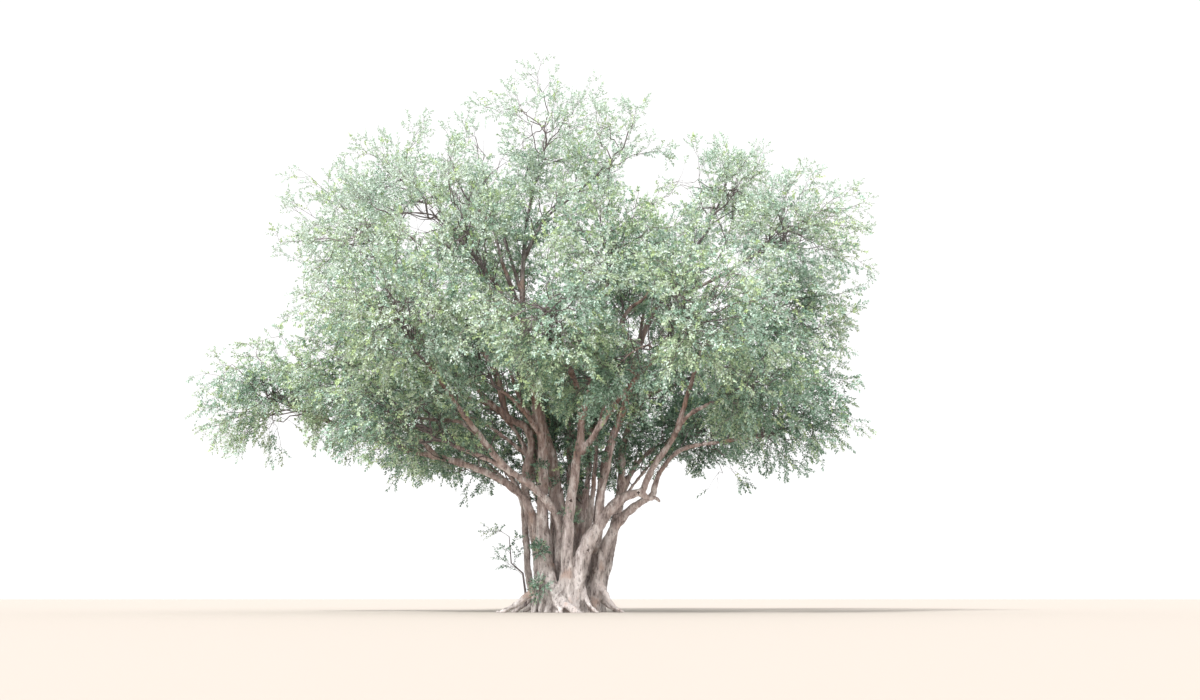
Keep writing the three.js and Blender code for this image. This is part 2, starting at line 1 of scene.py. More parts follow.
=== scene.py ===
"""Looks for a broad savanna tree with many stems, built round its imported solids.

The wood is one bark skin for the foot and the stems and one for the upper boughs. The crown is grown mass by
mass: twigs spread to all sides of each mass's space by the golden angle, branch twice more by the same rule,
and carry leaves. Metres, +Z up, the photographed side faces -Y.
"""

import logging
import math
from dataclasses import dataclass, field
from enum import Enum
from functools import partial
from typing import Any, Iterable

import bmesh
import bpy
import numpy as np
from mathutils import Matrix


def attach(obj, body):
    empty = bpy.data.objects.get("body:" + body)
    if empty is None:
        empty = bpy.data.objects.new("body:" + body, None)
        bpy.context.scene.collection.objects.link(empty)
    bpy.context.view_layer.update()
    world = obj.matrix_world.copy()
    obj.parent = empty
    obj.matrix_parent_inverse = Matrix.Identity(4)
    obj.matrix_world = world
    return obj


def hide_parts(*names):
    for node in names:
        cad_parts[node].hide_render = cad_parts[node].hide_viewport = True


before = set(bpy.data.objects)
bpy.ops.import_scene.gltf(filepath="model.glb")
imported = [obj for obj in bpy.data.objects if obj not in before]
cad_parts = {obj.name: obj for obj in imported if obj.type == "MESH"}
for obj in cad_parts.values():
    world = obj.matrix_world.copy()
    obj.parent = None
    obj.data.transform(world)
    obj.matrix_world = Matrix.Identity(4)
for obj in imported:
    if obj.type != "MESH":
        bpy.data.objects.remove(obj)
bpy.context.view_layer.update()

GOLDEN_ANGLE = math.pi * (3 - math.sqrt(5))
UP = np.array([0.0, 0.0, 1.0])
ASIDE = np.array([1.0, 0.0, 0.0])
EYE = (0.965, -33.5, 0.35)  # the camera's place, which the gaps in the crown are seen from
Pair = tuple[float, float]
Place = tuple[float, float, float]
Route = tuple[Place, ...]
Wave = tuple[float, float, float]  # height of a bump, how far it is drawn out upwards, and its size


def unit(vectors: np.ndarray) -> np.ndarray:
    """Scale vectors along the last axis to length one."""
    return vectors / np.maximum(np.linalg.norm(vectors, axis=-1, keepdims=True), 1e-9)


def mix(low: Any, high: Any, share: Any) -> Any:
    """Go a share of the way from one value to another."""
    return low + (high - low) * share


def ripple(places: np.ndarray, wavelength: float, seed: int) -> np.ndarray:
    """Give a smooth random value between about -1 and 1 at each place.

    Args:
        places: Points of shape (..., 3).
        wavelength: Typical size of a bump in metres.
        seed: Number that fixes the pattern.

    Returns:
        One value for each place.
    """
    rng = np.random.default_rng(seed)
    count = 6
    waves = unit(rng.normal(size=(count, 3))) * (2 * math.pi / wavelength) * rng.uniform(0.6, 1.5, (count, 1))
    phases = rng.uniform(0, 2 * math.pi, count)
    return np.sin(places @ waves.T + phases).sum(axis=-1) * 2 / count


def relief(places: np.ndarray, waves: Iterable[Wave], seed: int) -> np.ndarray:
    """Give the height at each place of some ripples together, one for each wave."""
    return sum(height * ripple(places * (1, 1, drawn), size, seed + order)
               for order, (height, drawn, size) in enumerate(waves))


def arc(start: np.ndarray, knee: np.ndarray, end: np.ndarray, count: int) -> np.ndarray:
    """Lay points along an arc that leaves its start towards the knee and reaches its end from there."""
    share = np.linspace(0, 1, count)[:, None]
    return (1 - share) ** 2 * start + 2 * share * (1 - share) * knee + share**2 * end


def rims(along: np.ndarray, across: np.ndarray, sides: int) -> np.ndarray:
    """Give the directions from every point of a line to the corners of the ring round it."""
    turn = np.arange(sides)[:, None] * 2 * math.pi / sides
    return across[..., None, :] * np.cos(turn) + np.cross(along, across)[..., None, :] * np.sin(turn)


def neighbours(sides: int) -> tuple[np.ndarray, np.ndarray]:
    """Number the corners of a ring, and the corner after each."""
    return np.arange(sides), (np.arange(sides) + 1) % sides


def walls(rings: int, sides: int) -> np.ndarray:
    """Number the faces between the rings of a tube.

    Args:
        rings: Rings of the tube.
        sides: Corners on each ring.

    Returns:
        The four corners of every face, of shape (rings - 1, sides, 4).
    """
    here, after = neighbours(sides)
    start = np.arange(rings - 1)[:, None] * sides
    return np.stack([start + here, start + after, start + after + sides, start + here + sides], axis=-1)


class Spline:
    """A centripetal Catmull-Rom curve, read by its share of length."""

    def __init__(self, places: Iterable[Iterable[float]], steps: int = 30) -> None:
        """Sample the curve through its places.

        Args:
            places: Points that the curve passes through.
            steps: Samples between two of them.
        """
        knots = np.array(list(places), float)
        ends = np.vstack([2 * knots[0] - knots[1], knots, 2 * knots[-1] - knots[-2]])
        samples = [self._stretch(ends[i : i + 4], steps) for i in range(len(knots) - 1)]
        self.points = np.vstack([*samples, knots[-1:]])
        self.lengths = np.concatenate([[0], np.cumsum(np.linalg.norm(np.diff(self.points, axis=0), axis=1))])
        self.length = float(self.lengths[-1])

    @staticmethod
    def _stretch(knots: np.ndarray, steps: int) -> np.ndarray:
        """Sample the stretch between the middle two of four knots.

        Args:
            knots: The four knots.
            steps: Number of samples, the end left out.

        Returns:
            The samples.
        """
        gaps = np.linalg.norm(np.diff(knots, axis=0), axis=1) ** 0.5
        times = np.concatenate([[0], np.cumsum(gaps)])
        t = np.linspace(times[1], times[2], steps, endpoint=False)[:, None]
        layer = [mix(knots[i], knots[i + 1], (t - times[i]) / (times[i + 1] - times[i])) for i in range(3)]
        layer = [mix(layer[i], layer[i + 1], (t - times[i]) / (times[i + 2] - times[i])) for i in range(2)]
        return mix(layer[0], layer[1], (t - times[1]) / (times[2] - times[1]))

    def at(self, shares: Any) -> np.ndarray:
        """Give the points at shares of the length."""
        along = np.clip(np.asarray(shares, float), 0, 1) * self.length
        return np.stack([np.interp(along, self.lengths, self.points[:, k]) for k in range(3)], axis=-1)

    def heading(self, share: float) -> np.ndarray:
        """Give the direction in which the curve runs at a share of its length."""
        return unit(self.at(min(1.0, share + 0.01)) - self.at(max(0.0, share - 0.01)))

    def share_at_height(self, height: float) -> float:
        """Give the first share of the length at which the curve rises past a height."""
        above = np.flatnonzero(self.points[:, 2] >= height)
        return float(self.lengths[above[0]] / self.length)


@dataclass(frozen=True)
class Limb:
    """One stem or bough, with the route and sizes of its solid.

    A stem parts from the foot at its fork, a bough leaves its source at a share of the source's length.
    """

    name: str
    radii: Pair
    route: Route
    fork: float = 0.0
    source: str = ""
    at: float = 0.0
    leafy: float = 0.0
    draping: bool = False


STEMS = (
    Limb("stem_outer_left", (0.08, 0.05), ((-0.66, 0.26, 0), (-0.87, 0.3, 0.95), (-0.95, 0.32, 1.95),
         (-1.15, 0.55, 3.1), (-1.95, 1.5, 4), (-2.8, 2.3, 4.35)), fork=2, leafy=2.9),
    Limb("stem_low_left", (0.11, 0.055), ((-0.56, -0.3, 0), (-0.6, -0.3, 1.3), (-0.7, -0.3, 2.2),
         (-0.98, -0.36, 2.85), (-1.75, -0.42, 3.4), (-2.7, -0.55, 3.75), (-4.4, -0.4, 4.2), (-6.5, -0.3, 5)),
         fork=2.1, leafy=3.3),
    Limb("stem_left", (0.165, 0.055), ((-0.24, -0.72, 0), (-0.36, -0.6, 1), (-0.5, -0.52, 2.2),
         (-0.48, -0.5, 3.5), (-0.6, -0.7, 5), (-1.2, -1.5, 6.8), (-1.9, -2.3, 8.1)), fork=2.2),
    Limb("stem_crossing_left", (0.115, 0.05), ((0.02, -0.5, 0), (-0.06, -0.45, 1.2), (-0.1, -0.6, 2.3),
         (-0.7, -1, 3.05), (-1.35, -1.4, 3.5), (-2.1, -2.2, 4.4), (-3.1, -3.3, 5.8)), fork=1.9, leafy=3.6),
    Limb("stem_elbow_left", (0.12, 0.05), ((-0.5, 0.05, 0), (-0.64, 0.06, 1.4), (-0.97, 0.05, 3.3),
         (-0.82, 0, 4.25), (-0.97, 0, 4.7), (-1.4, 0, 4.95), (-1.8, 0.05, 6.2), (-3.1, 0.4, 8),
         (-4.7, 0.8, 9.4)), fork=2.2),
    Limb("stem_centre", (0.195, 0.055), ((0.02, 0.05, 0), (0, 0.02, 1.6), (-0.14, 0.02, 2.8),
         (-0.34, 0.02, 4), (-0.72, 0, 5.4), (-1.08, 0, 8.1), (-1, 0, 10.1), (-0.75, 0, 11.5)), fork=2.3,
         leafy=4.7),
    Limb("stem_back_left", (0.14, 0.05), ((-0.4, 0.62, 0), (-0.45, 0.68, 1.5), (-0.62, 0.95, 3.3),
         (-0.95, 1.5, 5.2), (-1.6, 2.4, 7.5), (-2.1, 3, 9.2)), fork=1.9, leafy=3),
    Limb("stem_straight", (0.16, 0.05), ((0.14, -0.92, 0), (0.15, -0.92, 1), (0.18, -0.92, 2.2),
         (0.36, -0.92, 3.6), (0.5, -0.98, 4.7), (0.3, -1.9, 5.7), (-0.2, -3.4, 6.3)), fork=1.5),
    Limb("stem_right", (0.135, 0.05), ((0.72, 0.12, 0), (0.84, 0.16, 1.4), (0.95, 0.2, 2.7), (1.15, 0.2, 4),
         (1.65, 0.2, 5.4), (2.15, 0.2, 7.3), (3, 0.5, 8.9), (3.95, 1, 10.3)), fork=1.7),
    Limb("limb_great_right", (0.2, 0.1), ((0.3, -0.75, 0), (0.48, -0.78, 1.2), (0.95, -0.8, 2.15),
         (1.5, -0.8, 2.8), (2.02, -0.8, 2.97)), fork=1.35),
    Limb("limb_outer_right", (0.165, 0.08), ((0.72, -0.3, 0), (0.92, -0.28, 1), (1.3, -0.3, 2.05),
         (1.8, -0.36, 2.6), (2.3, -0.42, 2.9)), fork=1.3),
    Limb("stem_back_right", (0.135, 0.05), ((0.85, 0.78, 0), (1.15, 0.92, 1.3), (1.5, 1.1, 3.1),
         (1.6, 1.25, 4.4), (2.15, 1.9, 5.7), (3.2, 3.4, 6.4)), fork=1.6, leafy=2.8),
    Limb("stem_back", (0.145, 0.05), ((0.25, 0.82, 0), (0.32, 0.95, 1.5), (0.4, 1.4, 3.1), (0.3, 2.4, 4.5),
         (0.1, 3.9, 5.4)), fork=1.7, leafy=2.7),
)
BOUGHS = (
    Limb("bough_left_low", (0.07, 0.045), ((-3.9, -0.8, 4.6), (-4.4, -1, 5)), source="stem_low_left",
         at=0.62),
    Limb("bough_left_mid", (0.085, 0.045), ((-2, 0.1, 5.45), (-2.9, 0.3, 6.5), (-4.3, 0.5, 7.3)),
         source="stem_elbow_left", at=0.49),
    Limb("bough_left_shoulder", (0.085, 0.045), ((-1.6, -0.2, 8.2), (-2.4, -0.6, 9.2), (-3.15, -1.1, 9.9)),
         source="stem_centre", at=0.58, leafy=4.7),
    Limb("bough_top_left", (0.07, 0.045), ((-1.6, 0.4, 9.8), (-2.1, 1, 11.1)), source="stem_centre", at=0.72,
         leafy=4.7),
    Limb("bough_top_right", (0.065, 0.04), ((-0.5, -0.3, 10.2), (0.15, -0.8, 10.6), (0.7, -1.1, 11)),
         source="stem_centre", at=0.8, leafy=4.7),
    Limb("bough_leaning_right", (0.09, 0.05), ((0.9, -1.05, 4.5), (1.35, -1.25, 5.15), (1.9, -2, 5.7),
         (2.5, -3.2, 6.2)), source="stem_straight", at=0.5),
    Limb("bough_front_upper", (0.075, 0.045), ((0.8, -1.4, 6), (1, -1.9, 7), (1.15, -2.4, 7.9)),
         source="stem_straight", at=0.6),
    Limb("bough_front_middle", (0.065, 0.045), ((-1.1, -1.5, 5.1), (-1.5, -1.9, 5.4)), source="stem_left",
         at=0.52),
    Limb("bough_front_left", (0.075, 0.045), ((-1.9, -1.55, 3.75), (-2.6, -1.9, 4)),
         source="stem_crossing_left", at=0.56, leafy=3.6),
    Limb("bough_back_left", (0.08, 0.045), ((-1.7, 2.3, 5.9), (-2.9, 3.5, 6.4)), source="stem_back_left",
         at=0.55),
    Limb("bough_heart", (0.07, 0.045), ((1.75, 0.35, 6.9), (1.6, 0.5, 7.5)), source="stem_right", at=0.58),
    Limb("bough_right_upper", (0.08, 0.045), ((3.7, 0, 8.5), (5, -0.8, 9.1)), source="stem_right", at=0.76),
    Limb("bough_right_rising", (0.085, 0.045), ((2.25, -0.8, 3.5), (2.85, -0.8, 4.4), (3.25, -0.8, 5.6),
         (3.7, -0.7, 6.8), (4.6, -0.5, 7.4)), source="limb_great_right", at=1),
    Limb("bough_right_low", (0.07, 0.045), ((2.5, -0.42, 3.5), (3, -0.38, 4.05), (4.1, -0.2, 4.3),
         (5.1, -0.1, 4.45)), source="limb_outer_right", at=1, leafy=3.9),
    Limb("bough_front_right", (0.065, 0.045), ((3.15, -1.4, 4.8), (3.7, -2, 5.05)),
         source="bough_right_rising", at=0.3),
    Limb("bough_back_low_right", (0.07, 0.045), ((2.05, 1.5, 4), (2.6, 1.9, 4.45), (3.05, 2.25, 4.6)),
         source="stem_back_right", at=0.42, leafy=3.6),
    Limb("bough_back_upper_right", (0.075, 0.045), ((2, 2.1, 7), (2.3, 2.7, 8.8)), source="stem_back_right",
         at=0.7, leafy=5.6),
)

LESSER = (
    Limb("limb_behind_elbow", (0.075, 0.03), ((-0.8, 0.25, 3.1), (-0.84, 0.3, 3.79), (-1.35, 0.3, 4.77),
         (-2.07, 0.2, 5.35), (-3, 0, 5.6)), leafy=4.2),
    Limb("limb_left_inner", (0.075, 0.03), ((-0.48, 0.3, 2.9), (-0.5, 0.35, 3.54), (-1.28, 0.4, 4.28),
         (-2.1, 0.4, 4.86), (-3.1, 0.2, 5.3)), leafy=4.2),
    Limb("limb_centre_inner", (0.085, 0.035), ((-0.3, 0.02, 3.6), (-0.46, 0, 4.06), (-0.74, -0.1, 4.8),
         (-1.11, -0.1, 5.4), (-1.5, -0.1, 6.6))),
    Limb("limb_right_inner", (0.075, 0.03), ((0.85, -0.82, 2.05), (0.96, -0.9, 2.75), (1.17, -0.9, 3.45),
         (1.27, -0.9, 4.08), (1.6, -0.9, 5.4))),
    Limb("limb_right_behind", (0.1, 0.035), ((0.6, -0.15, 0.9), (0.76, -0.2, 2.81), (0.84, -0.2, 3.6),
         (0.91, -0.2, 4.63), (1.3, -0.2, 6)), leafy=3.2),
    Limb("limb_middle_behind", (0.12, 0.04), ((0.3, 0.4, 0.7), (0.42, 0.45, 1.9), (0.57, 0.5, 2.9),
         (0.72, 0.65, 4.2), (0.6, 0.9, 6.2)), leafy=2.4),
    Limb("stem_inner_left", (0.12, 0.04), ((-0.2, 0.25, 0.6), (-0.24, 0.3, 2.2), (-0.3, 0.5, 3.8),
         (-0.5, 1, 6)), leafy=2.6),
    Limb("stem_inner_right", (0.11, 0.04), ((0.5, 0.5, 0.6), (0.6, 0.6, 2.2), (0.66, 0.8, 3.8),
         (1, 1.3, 6.2)), leafy=2),
    Limb("stem_inner_middle", (0.12, 0.04), ((0.1, 0.3, 0.6), (0.2, 0.4, 2.2), (0.16, 0.6, 3.8),
         (0.1, 1.2, 6.2)), leafy=2.2),
    Limb("limb_leaning_left", (0.085, 0.035), ((-1.03, 0, 7.5), (-1.28, -0.25, 8.15), (-1.6, -0.4, 9),
         (-1.9, -0.5, 10), (-2.6, -0.5, 10.8), (-2.93, -0.5, 11.6)), leafy=9.9),
    Limb("limb_heart", (0.09, 0.035), ((1.85, 0.2, 6.2), (1.6, -0.3, 6.9), (1.5, -0.5, 7.3),
         (1.75, -0.45, 7.75), (2.15, -0.3, 8.1), (2.5, -0.2, 8.8)), leafy=8),
    Limb("limb_left_arc", (0.05, 0.012), ((-2.4, -0.6, 9.2), (-2.7, -1.5, 9.6), (-3.3, -2.3, 9.75),
         (-4.2, -2.6, 9.62), (-5.1, -2.5, 9.1), (-5.7, -2.2, 8.82)), leafy=8.8),
    Limb("limb_left_drop", (0.028, 0.014), ((-4.2, -2.6, 9.62), (-3.95, -2.75, 9.25), (-3.4, -2.8, 8.86)),
         leafy=8.8),
    Limb("limb_left_level", (0.07, 0.03), ((-1.7, -1.77, 3.9), (-2.1, -1.7, 4.35), (-2.5, -1.6, 4.62),
         (-3.1, -1.6, 4.68), (-3.8, -1.6, 4.75), (-4.6, -1.6, 4.8)), leafy=4.6),
    Limb("limb_right_shoulder", (0.045, 0.018), ((2.6, 0.35, 8.15), (3.3, 0.8, 8.9), (4.1, 1.2, 9.4),
         (4.6, 1.35, 10.5), (4.7, 1.45, 12.2)), leafy=8.6),
    Limb("limb_top_middle", (0.045, 0.025), ((-1.02, 0, 9.6), (-0.72, 0.3, 10.3), (-0.3, 0.5, 10.8),
         (0.15, 0.7, 11.4)), leafy=9.8),
    Limb("limb_behind_left", (0.06, 0.03), ((-0.6, 0.8, 2.3), (-1.3, 1.1, 3.2), (-2.2, 1.4, 4),
         (-3, 1.6, 4.7)), leafy=3.2),
    Limb("limb_behind_middle", (0.05, 0.025), ((-0.55, 0.85, 2.5), (-0.95, 1.5, 3.6), (-1.3, 2, 4.7),
         (-1.5, 2.4, 6)), leafy=3.6),
    Limb("limb_behind_fork", (0.05, 0.025), ((1.3, 1, 2.3), (1.7, 1.7, 3.3), (2, 2.2, 4.3), (2.2, 2.5, 5.4)),
         leafy=3.4),
    Limb("limb_behind_right", (0.06, 0.03), ((1.2, 0.9, 2), (1.7, 1.4, 3.1), (2.4, 1.7, 4), (3, 1.8, 4.8)),
         leafy=2.7),
    Limb("stub_great_right", (0.085, 0.03), ((2, -0.8, 2.9), (2.22, -0.8, 2.8), (2.36, -0.8, 2.82),
         (2.46, -0.84, 2.72))),
    Limb("limb_draping_right", (0.03, 0.012), ((1.9, -2, 5.7), (1.6, -2.5, 5.8), (1.1, -3, 5.65),
         (0.65, -3.3, 5.4)), leafy=5, draping=True),
    Limb("limb_draping_middle", (0.03, 0.012), ((2.3, -2.9, 6.1), (2.1, -3.4, 6.2), (1.7, -3.8, 5.95),
         (1.3, -4, 5.55)), leafy=5, draping=True),
    Limb("limb_draping_left", (0.03, 0.012), ((0.1, -2.7, 6.05), (0.2, -3.2, 5.95), (-0.1, -3.6, 5.7),
         (-0.5, -3.8, 5.6)), leafy=5, draping=True),
)


@dataclass(frozen=True)
class Mass:
    """One mass of foliage: the limb that feeds it, its middle, its reach to the side and how full it is."""

    name: str
    limb: str
    middle: Place
    reach: float
    fullness: float = 1.0


MASSES = (
    Mass("left_tip", "stem_low_left", (-7.85, -0.3, 5.5), 2.05, 1.3),
    Mass("left_low", "bough_left_low", (-5.5, -1, 6), 2.35, 1.2),
    Mass("left_mid", "bough_left_mid", (-5.4, 0.7, 8.1), 2.2),
    Mass("left_upper", "stem_elbow_left", (-6.1, 1.2, 10.4), 2.25, 1.35),
    Mass("left_shoulder", "bough_left_shoulder", (-4.1, -1.6, 10.9), 2.2),
    Mass("top_left", "bough_top_left", (-2.5, 1.6, 12.3), 2, 0.85),
    Mass("top", "stem_centre", (-0.4, 0, 12.7), 2.35),
    Mass("top_right", "bough_top_right", (1.3, -1.5, 11.8), 1.8),
    Mass("right_peak", "stem_right", (4.6, 1.5, 11.6), 2.1, 1.25),
    Mass("right_upper", "bough_right_upper", (6.3, -1.2, 9.6), 2.3, 1.3),
    Mass("right_mid", "bough_right_rising", (6, -0.5, 7.6), 2.3, 1.35),
    Mass("right_low", "bough_right_low", (5.9, -0.1, 5.4), 2.25, 1.3),
    Mass("front", "stem_straight", (-0.3, -5.2, 6.7), 2.6),
    Mass("front_middle", "bough_front_middle", (-2.2, -2.7, 6.5), 1.9),
    Mass("front_left", "stem_crossing_left", (-3.7, -4.5, 7), 2.5),
    Mass("front_right", "bough_leaning_right", (3.2, -4.9, 6.8), 2.6),
    Mass("front_upper_left", "stem_left", (-2.6, -3.2, 9.4), 2.4),
    Mass("front_upper_right", "bough_front_upper", (1.4, -3, 9.2), 2.4),
    Mass("front_low_left", "bough_front_left", (-4.1, -2.4, 4.95), 2.1),
    Mass("front_low_right", "bough_front_right", (4.8, -2.9, 5.5), 1.9),
    Mass("back", "stem_back", (0, 5.4, 6.4), 2.6),
    Mass("back_left", "bough_back_left", (-4.1, 4.7, 7.2), 2.6),
    Mass("back_right", "stem_back_right", (4.2, 4.7, 7.2), 2.6),
    Mass("back_upper_left", "stem_back_left", (-2.5, 3.6, 10.3), 2.5),
    Mass("back_upper_right", "bough_back_upper_right", (2.6, 3.6, 10.1), 2.5),
    Mass("back_low_left", "stem_outer_left", (-3.6, 3.4, 4.95), 2.1, 1.2),
    Mass("back_low_right", "bough_back_low_right", (3.9, 3.2, 5), 2.1, 1.2),
    Mass("heart", "bough_heart", (1.4, 0.5, 8.9), 2.2),
)
SPACE_FLATNESS = 0.85  # height of a foliage mass over its width


class Skin:
    """Vertices and faces that are gathered from many arrays and made into one piece."""

    def __init__(self) -> None:
        """Start with nothing."""
        self.places: list[np.ndarray] = []
        self.faces: list[np.ndarray] = []
        self.slots: list[np.ndarray] = []
        self.count = 0

    def add(self, places: np.ndarray, *batches: np.ndarray, slots: np.ndarray | int = 0) -> None:
        """Gather some faces.

        Args:
            places: Points of shape (n, 3).
            batches: Their faces' corners, each of shape (m, corners), counted from this call's first point.
            slots: The material slot of each face, or of all.
        """
        self.places.append(places)
        for faces in batches:
            self.faces.append(faces + self.count)
            self.slots.append(np.broadcast_to(slots, len(faces)))
        self.count += len(places)

    def piece(self, name: str, materials: list[bpy.types.Material], smooth: bool) -> bpy.types.Object:
        """Make the gathered faces one object.

        Args:
            name: Name of the object.
            materials: Its material slots.
            smooth: Whether its faces are shaded as one round surface.

        Returns:
            The new object, at the origin.
        """
        mesh = bpy.data.meshes.new(name)
        places = np.concatenate(self.places)
        corners = np.concatenate([faces.ravel() for faces in self.faces])
        sizes = np.concatenate([np.full(len(faces), faces.shape[1]) for faces in self.faces])
        mesh.vertices.add(len(places))
        mesh.vertices.foreach_set("co", places.astype(np.float32).ravel())
        mesh.loops.add(len(corners))
        mesh.loops.foreach_set("vertex_index", corners.astype(np.int32))
        mesh.polygons.add(len(sizes))
        mesh.polygons.foreach_set("loop_start", (np.cumsum(sizes) - sizes).astype(np.int32))
        mesh.polygons.foreach_set("material_index", np.concatenate(self.slots).astype(np.int32))
        mesh.polygons.foreach_set("use_smooth", np.full(len(sizes), smooth))
        for material in materials:
            mesh.materials.append(material)
        mesh.update(calc_edges=True)
        made = bpy.data.objects.new(name, mesh)
        bpy.context.scene.collection.objects.link(made)
        return made


def strands(lines: np.ndarray, radii: Pair, sides: int) -> tuple[np.ndarray, np.ndarray, np.ndarray]:
    """Make pointed tubes along many lines at once.

    Args:
        lines: Points of shape (tubes, rings + 1, 3), of which the last is the point.
        radii: Radius at the first ring, and at the last ring before the point.
        sides: Faces round each tube.

    Returns:
        The points, the four-cornered faces and the three-cornered faces at the point.
    """
    tubes, rings = len(lines), lines.shape[1] - 1
    along = unit(np.gradient(lines, axis=1))[:, :-1]
    chord = unit(lines[:, -1] - lines[:, 0])
    reference = np.where(np.abs(chord[:, 2:]) > 0.75, ASIDE, UP)[:, None, :]
    across = unit(np.cross(along, reference))
    size = np.linspace(*radii, rings)[:, None, None]
    shell = (lines[:, :-1, None] + rims(along, across, sides) * size).reshape(tubes, -1, 3)
    places = np.concatenate([shell, lines[:, -1:]], axis=1)
    first = np.arange(tubes)[:, None] * (rings * sides + 1)
    faces = first[..., None, None] + walls(rings, sides)
    here, after = neighbours(sides)
    last = first + (rings - 1) * sides
    points = np.stack([last + here, last + after, np.broadcast_to(last + sides, (tubes, sides))], axis=-1)
    return places.reshape(-1, 3), faces.reshape(-1, 4), points.reshape(-1, 3)


class Wire:
    """A shader socket that reads as a number in an expression."""

    def __init__(self, tree: "Shader", socket: bpy.types.NodeSocket) -> None:
        """Hold a socket and the shader that it belongs to."""
        self.tree = tree
        self.socket = socket

    def _maths(self, operation: str, first: Any, second: Any) -> "Wire":
        """Add a Math node with an operation on two values."""
        return self.tree.node("ShaderNodeMath", {"operation": operation}, {0: first, 1: second})

    def __add__(self, other: Any) -> "Wire":
        """Add a value."""
        return self._maths("ADD", self, other)

    __radd__ = __add__

    def __sub__(self, other: Any) -> "Wire":
        """Take a value away."""
        return self._maths("SUBTRACT", self, other)

    def __rsub__(self, other: Any) -> "Wire":
        """Take this from a value."""
        return self._maths("SUBTRACT", other, self)

    def __mul__(self, other: Any) -> "Wire":
        """Multiply by a value."""
        return self._maths("MULTIPLY", self, other)


class Shader:
    """A material's node tree, written as expressions."""

    def __init__(self, name: str) -> None:
        """Start a material of that name with only its shader and output."""
        self.material = bpy.data.materials.new(name)
        self.material.use_nodes = True
        self.nodes = self.material.node_tree.nodes
        self.surface = self.nodes["Principled BSDF"]

    def connect(self, value: Any, target: bpy.types.NodeSocket) -> None:
        """Link a wire to a socket, or set the socket to a plain value."""
        if isinstance(value, Wire):
            self.material.node_tree.links.new(value.socket, target)
        else:
            target.default_value = value

    def node(self, kind: str, settings: dict[str, Any], inputs: dict[Any, Any], output: Any = 0) -> Wire:
        """Add a node.

        Args:
            kind: The node's type.
            settings: Properties that are set first.
            inputs: Values or wires for its sockets.
            output: The socket to read.

        Returns:
            The wire from that output.
        """
        made = self.nodes.new(kind)
        for key, value in settings.items():
            setattr(made, key, value)
        for key, value in inputs.items():
            self.connect(value, made.inputs[key])
        return Wire(self, made.outputs[output])

    def blend(self, share: Any, first: Any, second: Any) -> Wire:
        """Mix two colours by a share."""
        return self.node("ShaderNodeMix", {"data_type": "RGBA"}, {0: share, 6: first, 7: second}, 2)

    def noise(self, place: Wire, scale: float, detail: float = 3.0, roughness: float = 0.55) -> Wire:
        """Add noise of a scale at a place."""
        sockets = {"Vector": place, "Scale": scale, "Detail": detail, "Roughness": roughness}
        return self.node("ShaderNodeTexNoise", {}, sockets)

    def spread(self, value: Any, low: float, high: float) -> Wire:
        """Stretch a value so that low becomes 0 and high becomes 1, and clip it."""
        return self.node("ShaderNodeMapRange", {"clamp": True}, {0: value, 1: low, 2: high, 3: 0.0, 4: 1.0})

    def finish(self, **sockets: Any) -> bpy.types.Material:
        """Set the shader's sockets, named with underscores for spaces, and give the material."""
        for key, value in sockets.items():
            self.connect(value, self.surface.inputs[key.replace("_", " ")])
        return self.material


Colour = tuple[float, float, float]


def paint(colour: Colour) -> tuple[float, float, float, float]:
    """Turn a linear colour into a socket's value."""
    return (*colour, 1.0)


@dataclass(frozen=True)
class BarkFinish:
    """Smooth pale bark: near white at the foot, grey brown above, redder on the boughs, grey at the top."""

    name: str = "bark_skin"
    foot: Colour = (0.56, 0.505, 0.485)
    stem: Colour = (0.46, 0.36, 0.34)
    bough: Colour = (0.275, 0.18, 0.152)
    stain: Colour = (0.36, 0.20, 0.13)
    plate: Colour = (0.84, 0.775, 0.755)
    # Painted shade, laid in the bark's creases and fissures and in the knots' pits
    crease_shade: Colour = (0.075, 0.052, 0.046)
    foot_top: float = 1.3
    stem_top: float = 3.2
    bough_bottom: float = 5.5
    top: Colour = (0.16, 0.135, 0.14)
    top_heights: Pair = (6.0, 10.0)
    grain_size: Place = (1.0, 1.0, 0.32)
    cloud_scale: float = 1.7
    plate_scale: float = 7.5
    fissure_scale: float = 17.0
    bump_depth: float = 0.05

    def material(self) -> bpy.types.Material:
        """Make the material.

        Returns:
            Bark with colours by height, pale plates, rusty stains and painted shade in the creases.
        """
        shader = Shader(self.name)
        place = shader.node("ShaderNodeTexCoord", {}, {}, "Object")
        height = shader.node("ShaderNodeSeparateXYZ", {}, {0: place}, 2)
        grain = shader.node("ShaderNodeMapping", {}, {0: place, 3: self.grain_size})
        clouds = shader.noise(place, self.cloud_scale)
        plates = shader.noise(grain, self.plate_scale, 4.0, 0.6)
        fissures = shader.noise(grain, self.fissure_scale, 5.0, 0.7)
        low = shader.spread(height + (clouds - 0.5) * 2.0, self.foot_top - 0.9, self.stem_top)
        high = shader.spread(height + (clouds - 0.5) * 3.0, self.stem_top, self.bough_bottom)
        colour = shader.blend(low, paint(self.foot), paint(self.stem))
        colour = shader.blend(high, colour, paint(self.bough))
        colour = shader.blend(shader.spread(height, *self.top_heights), colour, paint(self.top))
        fresh = shader.spread(plates, 0.50, 0.62) * (0.8 - high * 0.5)
        colour = shader.blend(fresh, colour, paint(self.plate))
        stained = shader.spread(clouds + (plates - 0.5) * 0.6, 0.58, 0.72) * 0.55
        colour = shader.blend(stained, colour, paint(self.stain))
        # Painted shade: the crease shade darkens where the plates and the fissures sink in the bump
        colour = shader.blend(shader.spread(plates, 0.46, 0.34) * 0.65, colour, paint(self.crease_shade))
        colour = shader.blend(shader.spread(fissures, 0.47, 0.34) * 0.75, colour, paint(self.crease_shade))
        bumps = {"Strength": 1.0, "Distance": self.bump_depth, "Height": fissures * 0.6 + plates * 0.9}
        bump = shader.node("ShaderNodeBump", {}, bumps)
        return shader.finish(Base_Color=colour, Roughness=0.78 + fissures * 0.15, Normal=bump)


